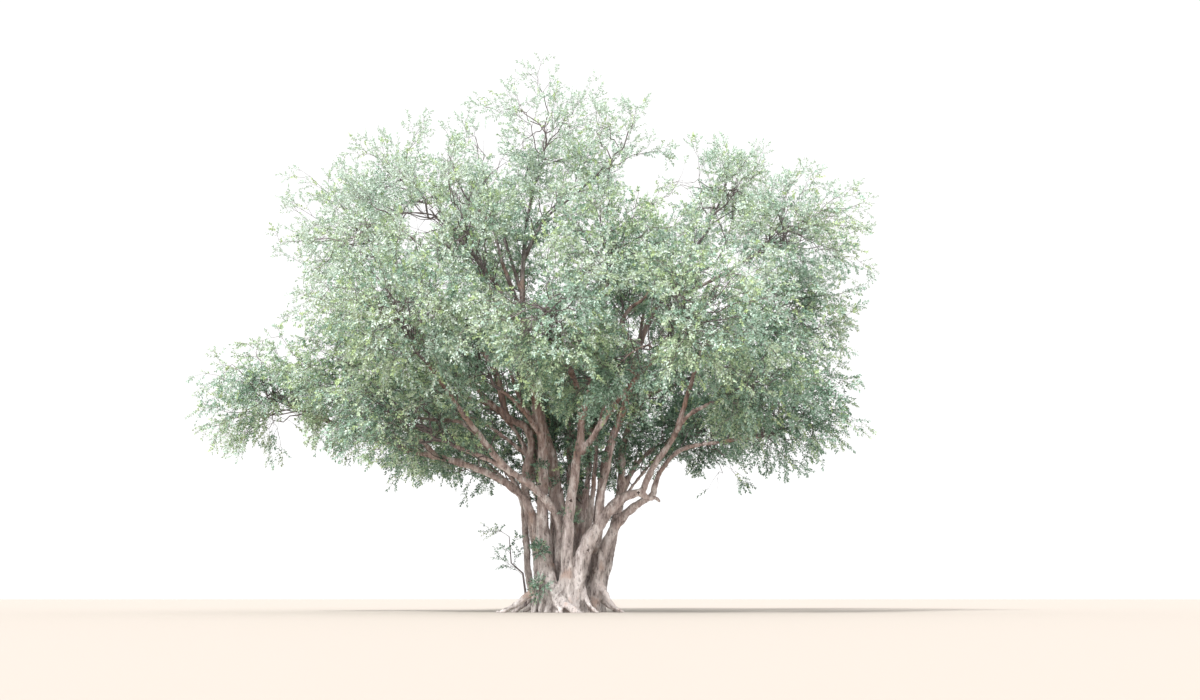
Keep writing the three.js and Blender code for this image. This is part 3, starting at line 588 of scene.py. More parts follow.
class LeafShade(Enum):
    """Leaf base colours with painted light and shade, by spray from the crown's shaded inside to its lit
    outside.
    """

    # From painted deep shade inside the crown to painted full light at its outside
    DEEP = (0.068, 0.13, 0.088)
    SHADED = (0.16, 0.27, 0.188)
    MIDDLE = (0.295, 0.45, 0.342)
    PALE = (0.445, 0.60, 0.50)
    SILVERY = (0.62, 0.73, 0.64)
    # Warm shades: painted sunlight towards the sunny side, mixed with random warm patches
    GRASS = (0.355, 0.48, 0.29)
    STRAW = (0.515, 0.63, 0.44)
    # Young leaves, dealt out more where the painted light is strong: partly painted sunlight
    YOUNG = (0.50, 0.64, 0.33)


@dataclass(frozen=True)
class LeafFinish:
    """A leaf's surface in one shade."""

    shade: LeafShade
    roughness: float = 0.55

    def material(self) -> bpy.types.Material:
        """Make the material."""
        shader = Shader("leaf_" + self.shade.name.lower())
        return shader.finish(Base_Color=paint(self.shade.value), Roughness=self.roughness)


@dataclass(frozen=True)
class TwigFinish:
    """Thin grey brown bark of twigs."""

    name: str = "twig"
    light: Colour = (0.24, 0.20, 0.20)
    dark: Colour = (0.105, 0.082, 0.085)

    def material(self) -> bpy.types.Material:
        """Make the material.

        Returns:
            Mottled bark.
        """
        shader = Shader(self.name)
        place = shader.node("ShaderNodeTexCoord", {}, {}, "Object")
        mottle = shader.spread(shader.noise(place, 9.0), 0.35, 0.65)
        colour = shader.blend(mottle, paint(self.dark), paint(self.light))
        return shader.finish(Base_Color=colour, Roughness=0.85)


@dataclass
class Framework:
    """All limbs' curves and radii, worked out by the same rule as the solids."""

    buried: float = 0.3
    taper_power: float = 0.75
    flare_height: float = 0.45
    flare_gain: float = 0.9
    slim_heights: Pair = (5.5, 10.5)
    slimness: float = 0.6
    curves: dict[str, Spline] = field(default_factory=dict)
    starts: dict[str, float] = field(default_factory=dict)
    limbs: dict[str, Limb] = field(default_factory=dict)

    def __post_init__(self) -> None:
        """Run each limb's curve from the ground or from its parent."""
        for limb in (*STEMS, *BOUGHS, *LESSER):
            route = list(limb.route)
            if limb.fork:
                route.insert(0, (*limb.route[0][:2], -self.buried))
            elif limb.source:
                route.insert(0, tuple(self.curves[limb.source].at(limb.at)))
            self.limbs[limb.name] = limb
            self.curves[limb.name] = Spline(route)
            self.starts[limb.name] = self.curves[limb.name].share_at_height(limb.fork) if limb.fork else 0.0

    def radius(self, name: str, shares: np.ndarray | float) -> np.ndarray:
        """Work out how thick a limb is.

        Args:
            name: The limb.
            shares: Shares of its length.

        Returns:
            Its radius at each share, with the taper, the slimming with height and a stem's flare.
        """
        limb, start = self.limbs[name], self.starts[name]
        beyond = np.maximum(0, (np.asarray(shares) - start) / (1 - start))
        taper = mix(*limb.radii, beyond**self.taper_power)
        height = np.maximum(0, self.curves[name].at(shares)[..., 2])
        taper = taper * np.interp(height, self.slim_heights, (1.0, self.slimness))
        if not limb.fork:
            return taper
        return taper * (1 + self.flare_gain * np.exp(-height / self.flare_height))


@dataclass
class Wood:
    """The bark skins of the foot, the stems and the boughs."""

    framework: Framework
    finish: BarkFinish = BarkFinish()
    sides: int = 18
    ring_spacing: float = 0.07
    skin_top: float = 5.2
    overlap: float = 0.35
    voxel: float = 0.026
    core_middle: Pair = (0.1, 0.04)
    core_radii: Pair = (0.9, 0.42)
    core_height: float = 1.3
    end_size: float = 0.8
    start_size: float = 0.85
    last_start: float = 0.97
    cut_height: float = 0.001
    hidden_roots: int = 5
    hidden_root_radii: Pair = (0.14, 0.045)
    hidden_root_angles: Pair = (-8.0, 195.0)
    hidden_root_reach: Pair = (0.72, 1.45)
    knot_collar: tuple[float, float, float] = (0.55, 1.3, 0.5)
    knot_pit: Pair = (0.9, 1.5)
    knot_shade_reach: float = 0.75
    knot_search: float = 0.04

    # Waves of the relief; each root's radii and route; across, height and size of each knot.
    FLUTES = ((0.13, 0.35, 0.5), (0.08, 0.25, 0.17))
    FINE_RELIEF = ((0.010, 0.3, 0.13), (0.006, 1, 0.09))
    ROOTS = (
        ((0.13, 0.04), ((-0.42, -0.68, 0.95), (-0.72, -0.85, 0.5), (-1.12, -1.05, 0.17),
                        (-1.6, -1.25, -0.06))),
        ((0.19, 0.07), ((-0.34, -0.6, 1.15), (-0.22, -0.82, 0.65), (0.02, -1.12, 0.28), (0.34, -1.38, 0.06),
                        (0.56, -1.5, -0.09))),
        ((0.12, 0.045), ((-0.24, -0.8, 0.7), (-0.1, -1.12, 0.28), (0.02, -1.4, 0.04), (0.06, -1.52, -0.08))),
        ((0.11, 0.035), ((0.86, -0.3, 0.9), (1.08, -0.48, 0.5), (1.24, -0.62, 0.22), (1.6, -0.8, -0.05))),
        ((0.08, 0.035), ((0.5, -0.75, 0.7), (0.62, -0.98, 0.35), (0.78, -1.12, 0.1), (1.0, -1.25, -0.07))),
        ((0.06, 0.03), ((-0.55, -0.78, 0.6), (-0.68, -0.98, 0.3), (-0.7, -1.12, -0.06))),
        ((0.055, 0.03), ((-0.4, -0.82, 0.5), (-0.5, -1.0, 0.2), (-0.52, -1.12, -0.06))),
        ((0.05, 0.025), ((-0.72, -0.2, 0.6), (-1.0, -0.3, 0.25), (-1.3, -0.34, -0.06))),
    )
    KNOTS = ((0.24, 2.78, 0.05), (1.97, 2.97, 0.045), (-1.25, 2.88, 0.07), (-0.42, 1.75, 0.045),
             (0.72, 1.5, 0.04))

    def tube(self, curve: Spline, radii: Any, first: float, last: float,
             seed: int) -> tuple[np.ndarray, np.ndarray]:
        """Make one limb's tube with shallow flutes and swellings.

        Args:
            curve: The limb's line.
            radii: Function from shares of its length to radii.
            first: Share of the length where the tube starts.
            last: Share where it ends.
            seed: Number that fixes the relief.

        Returns:
            The points and the faces, closed at both ends.
        """
        rings = max(3, int(curve.length * (last - first) / self.ring_spacing))
        shares = np.linspace(first, last, rings)
        line, size = curve.at(shares), radii(shares)
        along = unit(np.gradient(line, axis=0))
        across = np.empty_like(line)
        previous = ASIDE
        for index, heading in enumerate(along):
            previous = unit(previous - heading * (previous @ heading))
            across[index] = previous
        ring = rims(along, across, self.sides)
        shell = line[:, None] + ring * size[:, None, None]
        shell = line[:, None] + ring * (size[:, None] * (1 + relief(shell, self.FLUTES, seed)))[..., None]
        faces = walls(rings, self.sides)
        places = np.vstack([shell.reshape(-1, 3), line[:1], line[-1:]])
        here, after = neighbours(self.sides)
        tip = rings * self.sides
        top = tip - self.sides
        bottom_cap = np.stack([np.full(self.sides, tip), after, here, here], axis=-1)
        top_cap = np.stack([np.full(self.sides, tip + 1), top + here, top + after, top + after], axis=-1)
        return places, np.vstack([faces.reshape(-1, 4), bottom_cap, top_cap])

    def roots_behind(self) -> list[tuple[Pair, Route]]:
        """Lay roots evenly round the side that is not photographed.

        Returns:
            Each root's radii and route.
        """
        near, far = self.hidden_root_reach
        spots = [(near, 0.75), (mix(near, far, 0.35), 0.3), (mix(near, far, 0.75), 0.06), (far, -0.09)]
        laid = []
        for angle in np.radians(np.linspace(*self.hidden_root_angles, self.hidden_roots)):
            across, depth = math.cos(angle), math.sin(angle)
            route = tuple((self.core_middle[0] + out * across, out * depth, height) for out, height in spots)
            laid.append((self.hidden_root_radii, route))
        return laid

    def ending(self, name: str, end: float, shares: np.ndarray) -> np.ndarray:
        """Draw a limb in where it leaves the fused skin, unless it ends there.

        Args:
            name: The limb.
            end: Share of its length where its part of the fused skin ends.
            shares: Shares of its length.

        Returns:
            Its radius at each share.
        """
        size = self.framework.radius(name, shares)
        if end == 1.0:
            return size
        left = np.clip((end - shares) * self.framework.curves[name].length / (2 * self.overlap), 0, 1)
        return size * mix(self.end_size, 1.0, np.clip(left * 2, 0, 1))

    def starting(self, name: str, start: float, shares: np.ndarray) -> np.ndarray:
        """Give a limb's radius above the fused skin, drawn in where its own bark starts inside that."""
        beyond = (shares - start) * self.framework.curves[name].length / self.overlap
        return self.framework.radius(name, shares) * mix(self.start_size, 1.0, np.clip(beyond, 0, 1))

    def build_foot(self) -> bpy.types.Object:
        """Fuse the stems' lower parts, the heart and the roots in one bark skin, cut flat at the ground.

        Returns:
            The piece.
        """
        skin = Skin()
        for seed, name in enumerate(self.framework.limbs):
            curve = self.framework.curves[name]
            low = curve.points[:, 2] < self.skin_top
            if not low.any():
                continue
            beyond = float(curve.lengths[np.flatnonzero(low)[-1]] / curve.length)
            last = min(1.0, beyond + self.overlap / curve.length)
            skin.add(*self.tube(curve, partial(self.ending, name, last), 0.0, last, seed))
        for seed, (radii, route) in enumerate([*self.ROOTS, *self.roots_behind()], 60):
            skin.add(*self.tube(Spline(route), partial(mix, *radii), 0.0, 1.0, seed))
        heart = Spline([(*self.core_middle, -self.framework.buried), (*self.core_middle, self.core_height)])
        skin.add(*self.tube(heart, partial(mix, *self.core_radii), 0.0, 1.0, 90))
        rough = skin.piece("foot", [], smooth=True)
        remesh = rough.modifiers.new("fuse", "REMESH")
        remesh.mode, remesh.voxel_size, remesh.use_smooth_shade = "VOXEL", self.voxel, True
        smooth = rough.modifiers.new("soften", "SMOOTH")
        smooth.factor, smooth.iterations = 0.5, 3
        fused = bpy.data.meshes.new_from_object(rough.evaluated_get(bpy.context.evaluated_depsgraph_get()))
        bpy.data.objects.remove(rough)
        return self._level(fused)

    def _level(self, mesh: bpy.types.Mesh) -> bpy.types.Object:
        """Roughen a mesh, cut it flat at the ground, close it there and make it a piece.

        Args:
            mesh: The fused skin.

        Returns:
            The piece.
        """
        flat = np.empty((2, len(mesh.vertices) * 3), np.float32)
        mesh.vertices.foreach_get("co", flat[0])
        mesh.vertices.foreach_get("normal", flat[1])
        places, normals = flat.reshape(2, -1, 3)
        places = places + normals * relief(places, self.FINE_RELIEF, 201)[:, None]
        self._carve_knots(mesh, places, normals)
        cut = bmesh.new()
        cut.from_mesh(mesh)
        everything, level = [*cut.verts, *cut.edges, *cut.faces], UP * self.cut_height
        bmesh.ops.bisect_plane(cut, geom=everything, plane_co=level, plane_no=UP, clear_inner=True)
        bmesh.ops.holes_fill(cut, edges=[edge for edge in cut.edges if edge.is_boundary])
        cut.to_mesh(mesh)
        cut.free()
        made = bpy.data.objects.new("bark_foot_and_stems", mesh)
        for name in (self.finish.name, "knot"):
            mesh.materials.append(bpy.data.materials[name])
        bpy.context.scene.collection.objects.link(made)
        return made

    def _carve_knots(self, mesh: bpy.types.Mesh, places: np.ndarray, normals: np.ndarray) -> None:
        """Sink each old branch scar into the bark's front, inside a raised collar, with painted shade in its
        pit.

        Args:
            mesh: The fused skin, which takes the carved places.
            places: Its points.
            normals: Their normals.
        """
        corners, starts = np.empty(len(mesh.loops), np.int32), np.empty(len(mesh.polygons), np.int32)
        mesh.loops.foreach_get("vertex_index", corners)
        mesh.polygons.foreach_get("loop_start", starts)
        # Faces of the knots' pits, which take painted shade
        dark = np.zeros(len(places), bool)
        rise, rim, wide = self.knot_collar
        fall, narrow = self.knot_pit
        for across, height, size in self.KNOTS:
            beside = np.hypot(places[:, 0] - across, places[:, 2] - height)
            centre = places[np.where(beside < self.knot_search, places[:, 1], np.inf).argmin()]
            away = np.linalg.norm(places - centre, axis=1) / size
            lift = rise * np.exp(-(((away - rim) / wide) ** 2)) - fall * np.exp(-(away**2) * narrow)
            places += normals * (size * lift)[:, None]
            dark |= away < self.knot_shade_reach
        mesh.vertices.foreach_set("co", places.astype(np.float32).ravel())
        mesh.polygons.foreach_set("material_index", dark[corners[starts]].astype(np.int32))

    def build_boughs(self) -> bpy.types.Object:
        """Make the bark of all that rises above the fused skin.

        Returns:
            The piece.
        """
        skin = Skin()
        for seed, (name, curve) in enumerate(self.framework.curves.items()):
            low = np.flatnonzero(curve.points[:, 2] < self.skin_top)
            first = float(curve.lengths[low[-1]] / curve.length) if len(low) else 0.0
            if first <= self.last_start:
                skin.add(*self.tube(curve, partial(self.starting, name, first), first, 1.0, seed))
        return skin.piece("bark_upper_boughs", [bpy.data.materials[self.finish.name]], smooth=True)

    def build(self) -> list[bpy.types.Object]:
        """Make the bark pieces, which replace the trunk, the stems and the boughs.

        Returns:
            The two pieces.
        """
        self.finish.material()
        # The knot material paints shade into the knots' pits with the crease shade colour
        Shader("knot").finish(Base_Color=paint(self.finish.crease_shade), Roughness=0.95)
        foot, boughs = self.build_foot(), self.build_boughs()
        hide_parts("trunk", *(limb.name for limb in STEMS))
        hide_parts(*(limb.name for limb in BOUGHS))
        return [foot, boughs]


@dataclass
class Growth:
    """What one mass grows: batches of twigs, each with its radii and sides, and one batch of leaves."""

    twigs: list[tuple[np.ndarray, Pair, int]] = field(default_factory=list)
    roots: np.ndarray = field(default_factory=lambda: np.empty((0, 3)))
    headings: np.ndarray = field(default_factory=lambda: np.empty((0, 3)))
    shades: np.ndarray = field(default_factory=lambda: np.empty(0, int))
    sizes: np.ndarray = field(default_factory=lambda: np.empty(0))


@dataclass(frozen=True)
class Order:
    """One order of branching: how many leave each parent, how they lean and run, and how thick they are.

    They hang by the first droop at the top of the crown and by the second at its underside.
    """

    count: int
    lean: float
    start: float
    rings: int = 2
    droops: Pair = (0.0, 0.0)
    radii: Pair = (0.0, 0.0)


@dataclass(frozen=True)
class Daylight:
    """How the painted light and shade of the leaves follow their place in the crown.

    Each share says how much the way out from the middle, the way up, the sunny side or the depth in a mass
    counts. The warm shades are those that take the place of the first five.
    """

    foot: float = 3.5
    height: float = 11.0
    middle: Place = (0.0, 0.0, 7.5)
    reach: Place = (9.0, 7.5, 7.0)
    sunny_side: Place = (-0.6, -0.6, 0.5)
    base: float = 0.16
    out_share: float = 0.4
    up_share: float = 0.6
    sun_share: float = 0.14
    depth_share: float = 0.4
    steps: float = 4.9
    warm_limit: float = 0.05
    warm_shades: tuple[int, ...] = (0, 1, 5, 6, 4)
    sunlit_young_share: float = 0.07

    def shade(self, tips: np.ndarray, depth: np.ndarray, leaves: int, rng: np.random.Generator) -> np.ndarray:
        """Paint light and shade by spray: paler up, out and sunward, warmer sunward and in random patches.

        Args:
            tips: The sprays' tips.
            depth: How deep each lies in its mass.
            leaves: Leaves on each.
            rng: Source of the variation.

        Returns:
            The number of each leaf's shade.
        """
        count = len(tips)
        # Painted light: paler to the top, the outside and the sunny side; painted shade deeper in a mass
        tips = np.maximum(tips, (-np.inf, -np.inf, self.foot))
        out = (tips - self.middle) / self.reach
        light = self.out_share * np.linalg.norm(out, axis=1)
        light = light + self.up_share * (tips[:, 2] - self.foot) / self.height
        light = light + self.sun_share * out @ self.sunny_side
        level = (light + self.base - self.depth_share * np.clip(depth, 0, 0.5)) * self.steps
        level = level + 0.5 * ripple(tips, 1.6, 31) + rng.normal(0, 0.5, count)
        levels = np.round(level[:, None] + rng.normal(0, 0.6, (count, leaves)))
        shades = np.clip(levels, 0, len(self.warm_shades) - 1).astype(int)
        # Painted sunlight: warmer shades towards the sunny side, with random warm patches
        warmth = 0.5 * ripple(tips, 2.4, 77) + 0.35 * out @ self.sunny_side + rng.normal(0, 0.35, count)
        shades = np.where(warmth[:, None] > self.warm_limit, np.array(self.warm_shades)[shades], shades)
        # Young leaves go mostly where the painted light is strong
        sunlit_young = rng.random(count) < self.sunlit_young_share * np.clip(light * 1.6, 0, 1)
        return np.where(sunlit_young[:, None], len(LeafShade) - 1, shades).ravel()


@dataclass
class Crown:
    """The foliage: every mass's stem, three orders of twigs and their leaves."""

    framework: Framework
    daylight: Daylight = Daylight()
    main_twigs: int = 24
    side: Order = Order(7, 0.95, 0.3, 3, (-0.1, 0.25), (0.006, 0.0035))
    shoot: Order = Order(5, 0.85, 0.25, 2, (0.0, 0.36), (0.004, 0.004))
    leaf: Order = Order(13, 1.05, 0.12)
    share_jitter: Pair = (0.1, 0.9)
    turn_jitter: float = 0.25
    lean_jitter: Pair = (0.7, 1.25)
    tip_lean: float = 0.45
    length_by_share: Pair = (1.15, 0.6)
    length_jitter: Pair = (0.75, 1.2)
    main_radii: Pair = (0.018, 0.005)
    main_bend: float = 0.22
    main_lift: float = 0.12
    main_sway: float = 0.14
    stem_sway: float = 0.16
    side_share: float = 0.38
    shoot_length: float = 0.38
    limb_twig_length: float = 1.35
    limb_twig_lean: float = 1.15
    limb_twig_lift: float = 0.25
    limb_twig_droop: float = -0.08
    limb_side_length: float = 0.6
    tuft_side_length: float = 0.42
    tuft_radii: Pair = (0.036, 0.01)
    tuft_leaf_size: float = 0.8
    tuft_light: float = 5.0
    leaf_length: float = 0.08
    leaf_width: float = 0.54
    leafy_from: float = 4.7
    limb_twig_spacing: float = 1.1
    low_twig_spacing: float = 0.4
    draping_twig_spacing: float = 0.12
    stem_radius: float = 0.024
    crook: float = 0.09
    crook_wavelength: float = 0.55
    gap_size: float = 0.85
    usual_reach: float = 2.3
    mass_turn: float = 1.7
    stem_knee: float = 0.35
    inner_spread: float = 0.45
    draw_in_steps: int = 12
    draw_in: float = 0.12
    least_depth: float = 0.02
    side_outside: float = -0.10
    shoot_outside: float = -0.12
    shoot_raggedness: float = 0.06
    free_depth: float = 0.3
    hanging_height: float = 6.0
    seed: int = 7

    REGIONS = {
        "left": ("left_tip", "left_low", "left_mid", "left_upper", "left_shoulder"),
        "top": ("top_left", "top", "top_right", "heart", "right_peak"),
        "right": ("right_upper", "right_mid", "right_low", "front_low_right", "back_low_right"),
        "front": ("front", "front_middle", "front_left", "front_right", "front_low_left"),
        "front_upper": ("front_upper_left", "front_upper_right", "back_upper_left", "back_upper_right"),
        "back": ("back", "back_left", "back_right", "back_low_left"),
    }

    # Across, height and size of each gap as the eye sees it; a window is open in front of its last number.
    CLEARINGS = (
        (2.12, 11.59, 0.6), (-2.08, 12.54, 0.42), (-1.74, 11.95, 0.25), (-3.8, 10.3, 0.55),
        (-3.45, 12.4, 0.38), (-7.23, 4.68, 0.45), (2.9, 3.47, 0.42), (4.19, 3.5, 0.4), (-3.24, 3.05, 0.35),
        (-4.83, 3.35, 0.35), (7.3, 3.6, 0.45), (8, 7.5, 0.35), (3.3, 11.55, 0.42), (1.87, 3.26, 0.45),
        (2.5, 2.9, 0.5), (1.95, 2.3, 0.6), (3.9, 3.3, 0.4),
    )
    WINDOWS = (
        (-1.6, 9.25, 0.72, -0.6), (-1.1, 8.5, 0.5, -0.15), (-1, 9.3, 0.4, -0.15), (-2.7, 11, 0.4, -0.7),
        (1.85, 7.85, 0.6, -0.75), (2.15, 7.2, 0.42, 0), (-1.55, 5.9, 0.42, -0.3), (-1.5, 5.4, 0.42, -0.15),
        (-1.2, 4.85, 0.45, -0.15), (-0.95, 4.2, 0.45, -0.15), (-2.2, 3.62, 0.32, -0.7),
        (-2.8, 3.84, 0.34, -0.8), (-3.4, 4, 0.34, -0.8), (0.35, 6.1, 0.3, -2), (-2.75, 4.87, 0.38, -1.85),
        (-3.5, 4.95, 0.36, -1.85),
    )
    GAP_EDGE = ((0.3, 1, 0.5), (0.3, 1, 0.12))
    FULLNESS_BY_HEIGHT = ((7, 9, 12), (1.25, 1.05, 0.62))
    SPREAD_BY_HEIGHT = ((8, 11), (0.92, 0.84))
    LEAF_OUTLINE = np.array([(0, 0, 0), (0.48, 0.5, 0.06), (1, 0, -0.05), (0.48, -0.5, 0.06)])
    LEAF_FACES = np.array([(0, 2, 1), (0, 3, 2)])
    # Where each sprig stands, its heading and its length.
    TUFTS = (
        ((-0.5, -0.7, 1.5), (-0.1, -1.0, 0.3), 0.34),
        ((-0.42, -0.85, 0.5), (-0.25, -1.0, 0.5), 0.45),
        ((0.16, -0.4, 2.1), (0.1, -0.7, 0.6), 0.5),
        ((-0.9, -0.35, 0.15), (-0.36, -0.1, 1.0), 2.5),
    )

    def __post_init__(self) -> None:
        """Note every mass's place for the test of its space."""
        self.middles = np.array([mass.middle for mass in MASSES])
        self.reaches = np.array([mass.reach for mass in MASSES])
        self.squash = np.array([1, 1, 1 / SPACE_FLATNESS])

    def depth_in_space(self, places: np.ndarray, index: int | None) -> np.ndarray:
        """Tell how deep places lie in a mass's space.

        Args:
            places: Points of shape (n, 3).
            index: The mass's number, or none for places that belong to no mass.

        Returns:
            Share of the reach left to the nearest side, below zero outside.
        """
        if index is None:
            return np.full(len(places), self.free_depth)
        gaps = np.linalg.norm((places[..., None, :] - self.middles) * self.squash, axis=-1)
        powers = gaps**2 - self.reaches**2
        between = np.linalg.norm((self.middles - self.middles[index]) * self.squash, axis=-1)
        between[index] = np.inf
        borders = (powers - powers[..., index : index + 1]) / (2 * between)
        borders[..., index] = np.inf
        return np.minimum(self.reaches[index] - gaps[..., index], borders.min(axis=-1)) / self.reaches[index]

    def stands_clear(self, places: np.ndarray) -> np.ndarray:
        """Tell which places keep out of the crown's gaps: those of sky, and those before a limb in sight.

        Args:
            places: Points of shape (n, 3).

        Returns:
            Truth for each place outside every gap, whose edge is ragged.
        """
        nearness = -EYE[1] / (places[:, 1] - EYE[1])
        across = EYE[0] + (places[:, 0] - EYE[0]) * nearness
        height = EYE[2] + (places[:, 2] - EYE[2]) * nearness
        x, z, size, before = np.array([(*gap, np.inf) for gap in self.CLEARINGS] + list(self.WINDOWS)).T
        away = np.hypot(across[:, None] - x, height[:, None] - z)
        ragged = self.gap_size + relief(places, self.GAP_EDGE, 51)
        return ((away > size * ragged[:, None]) | (places[:, 1:2] > before)).all(axis=1)

    def branch(self, lines: np.ndarray, order: Order, length: float,
               rng: np.random.Generator) -> tuple[np.ndarray, np.ndarray, np.ndarray]:
        """Leave many lines to all sides by the golden angle.

        Args:
            lines: Parents, of shape (parents, rings, 3).
            order: How many leave each parent, how they lean, and the share of the parent where they start.
            length: Their length before it varies.
            rng: Source of the small variations.

        Returns:
            Where they leave, their unit headings and their lengths.
        """
        (parents, rings, _), count = lines.shape, order.count
        step = np.arange(count) + rng.uniform(*self.share_jitter, (parents, count))
        shares = mix(order.start, 1.0, step / count)
        spot = shares * (rings - 1)
        below = np.clip(spot.astype(int), 0, rings - 2)
        rows = np.arange(parents)[:, None]
        first, second = lines[rows, below], lines[rows, below + 1]
        places = mix(first, second, (spot - below)[..., None])
        along = unit(second - first)
        reference = np.where(np.abs(along[..., 2:]) > 0.8, ASIDE, UP)
        across = unit(np.cross(along, reference))
        sideways = np.cross(along, across)
        turn = np.arange(count) * GOLDEN_ANGLE + rng.uniform(0, 2 * math.pi, (parents, 1))
        turn = turn + rng.normal(0, self.turn_jitter, (parents, count))
        out = across * np.cos(turn)[..., None] + sideways * np.sin(turn)[..., None]
        lean = order.lean * rng.uniform(*self.lean_jitter, (parents, count))
        lean = (lean * mix(1.0, self.tip_lean, shares**2))[..., None]
        headings = along * np.cos(lean) + out * np.sin(lean)
        reach = length * mix(*self.length_by_share, shares)
        reach = reach * rng.uniform(*self.length_jitter, (parents, count))
        return places.reshape(-1, 3), unit(headings).reshape(-1, 3), reach.ravel()

    def arch(self, places: np.ndarray, headings: np.ndarray, lengths: np.ndarray, rings: int,
             droop: float) -> np.ndarray:
        """Draw lines that leave along headings and bend down with their own weight.

        Args:
            places: Where they leave.
            headings: Unit directions.
            lengths: Lengths in metres.
            rings: Points on each line.
            droop: Fall of the tip as a share of the length.

        Returns:
            Lines of shape (count, rings, 3).
        """
        share = np.linspace(0, 1, rings)[:, None]
        straight = places[:, None] + headings[:, None] * lengths[:, None, None] * share
        return self.crooked(straight - UP * (droop * lengths)[:, None, None] * share**2, self.crook * lengths)

    def crooked(self, lines: np.ndarray, sway: np.ndarray) -> np.ndarray:
        """Bend lines a little to and fro, more towards their tips.

        Args:
            lines: Lines of shape (count, rings, 3).
            sway: Size of the bends on each line in metres.

        Returns:
            The bent lines, which still start where they did.
        """
        share = np.linspace(0, 1, lines.shape[1])[:, None] ** 0.5
        bends = np.stack([ripple(lines, self.crook_wavelength, 41 + axis) for axis in range(3)], axis=-1)
        return lines + (bends - bends[:, :1]) * sway[:, None, None] * share

    def mass_twigs(self, index: int, rng: np.random.Generator) -> tuple[np.ndarray, np.ndarray]:
        """Run the stem of a mass from its limb's tip, and its main twigs to all sides.

        Args:
            index: The mass's number.
            rng: Source of the small variations.

        Returns:
            The stem's line and the main twigs' lines.
        """
        mass = MASSES[index]
        curve = self.framework.curves[mass.limb]
        middle, foot, out = np.array(mass.middle), curve.at(1.0), curve.heading(1.0)
        knee = foot + out * np.linalg.norm(middle - foot) * self.stem_knee
        stem = self.crooked(arc(foot, knee, middle, 13)[None], np.array([self.stem_sway]))[0]
        fullness = float(np.interp(mass.middle[2], *self.FULLNESS_BY_HEIGHT)) * mass.fullness
        order = np.arange(round(self.main_twigs * fullness * (mass.reach / self.usual_reach) ** 2))
        height = 1 - (2 * (order + 0.5)) / len(order)
        turn = order * GOLDEN_ANGLE + index * self.mass_turn
        ring = np.sqrt(1 - height**2)
        aim = np.stack([ring * np.cos(turn), ring * np.sin(turn), height], axis=-1)
        reach = mass.reach * np.array([1, 1, SPACE_FLATNESS])
        spread = np.interp(mass.middle[2], *self.SPREAD_BY_HEIGHT)
        ends = middle + aim * reach * rng.uniform(self.inner_spread, spread, (len(order), 1))
        for _ in range(self.draw_in_steps):
            outside = self.depth_in_space(ends, index) < self.least_depth
            ends[outside] = mix(ends[outside], middle, self.draw_in)
        begins = stem[rng.integers(1, len(stem), len(order))]
        bend = mix(begins, ends, 0.5) + rng.normal(0, self.main_bend, ends.shape) + UP * self.main_lift
        main = arc(begins[:, None], bend[:, None], ends[:, None], 9)
        return stem, self.crooked(main, np.full(len(main), self.main_sway))

    def sprout(self, parents: np.ndarray, order: Order, length: float, low: float,
               rng: np.random.Generator) -> np.ndarray:
        """Grow one order of twigs.

        Args:
            parents: The lines that they leave.
            order: How they branch and hang.
            length: Their length.
            low: How far they hang, from 0 at the top of the crown to 1 at its underside.
            rng: Source of the small variations.

        Returns:
            Their lines.
        """
        droop = mix(*order.droops, low)
        return self.arch(*self.branch(parents, order, length, rng), rings=order.rings, droop=droop)

    def lowness(self, height: float, underside: float) -> float:
        """Tell how low a height lies in the crown, from 1 at the underside to 0 where nothing hangs."""
        return min(1.0, max(0.0, 1 - (height - underside) / self.hanging_height))

    def clothe(self, main: np.ndarray, length: float, rng: np.random.Generator, index: int | None, low: float,
               radii: Pair, lit: float = 0.0) -> Growth:
        """Branch main twigs twice more and set leaves on the last twigs.

        Args:
            main: The main twigs' lines.
            length: Length of their side twigs.
            rng: Source of the small variations.
            index: The mass whose space they keep to, or none for twigs that stand on a limb.
            low: How far sprays hang, from 0 at the top of the crown to 1 at its underside.
            radii: The main twigs' radii at both ends.
            lit: How much higher in the crown the leaves' shades are dealt from.

        Returns:
            The twigs and the leaves.
        """
        if index is not None:
            main = main[self.stands_clear(main[:, main.shape[1] // 2])]
        side = self.sprout(main, self.side, length, low, rng)
        keeps = self.stands_clear(side[:, -1])
        side = side[keeps & (self.depth_in_space(side[:, -1], index) > self.side_outside)]
        shoot = self.sprout(side, self.shoot, min(self.shoot_length, length), low, rng)
        depth = self.depth_in_space(shoot[:, -1], index)
        keeps = self.stands_clear(shoot[:, -1]) & self.stands_clear(shoot.mean(axis=1))
        keeps &= depth > self.shoot_outside + self.shoot_raggedness * ripple(shoot[:, -1], 0.9, 11)
        shoot, depth = shoot[keeps], depth[keeps]
        grown = Growth([(main, radii, 4), (side, self.side.radii, 3), (shoot, self.shoot.radii, 3)])
        grown.roots, grown.headings, _ = self.branch(shoot, self.leaf, 1.0, rng)
        grown.shades = self.daylight.shade(shoot[:, -1] + UP * lit, depth, self.leaf.count, rng)
        grown.sizes = self.leaf_length * rng.uniform(0.7, 1.2, len(grown.roots))
        return grown

    def grow_mass(self, index: int) -> Growth:
        """Grow one mass from its limb's tip.

        Args:
            index: The mass's number.

        Returns:
            Its twigs and leaves.
        """
        mass = MASSES[index]
        rng = np.random.default_rng(self.seed + index)
        stem, main = self.mass_twigs(index, rng)
        low = self.lowness(mass.middle[2], 5)
        grown = self.clothe(main, mass.reach * self.side_share, rng, index, low, self.main_radii)
        tip = float(self.framework.radius(mass.limb, 1.0))
        grown.twigs.append((stem[None], (tip, self.stem_radius), 7))
        return grown

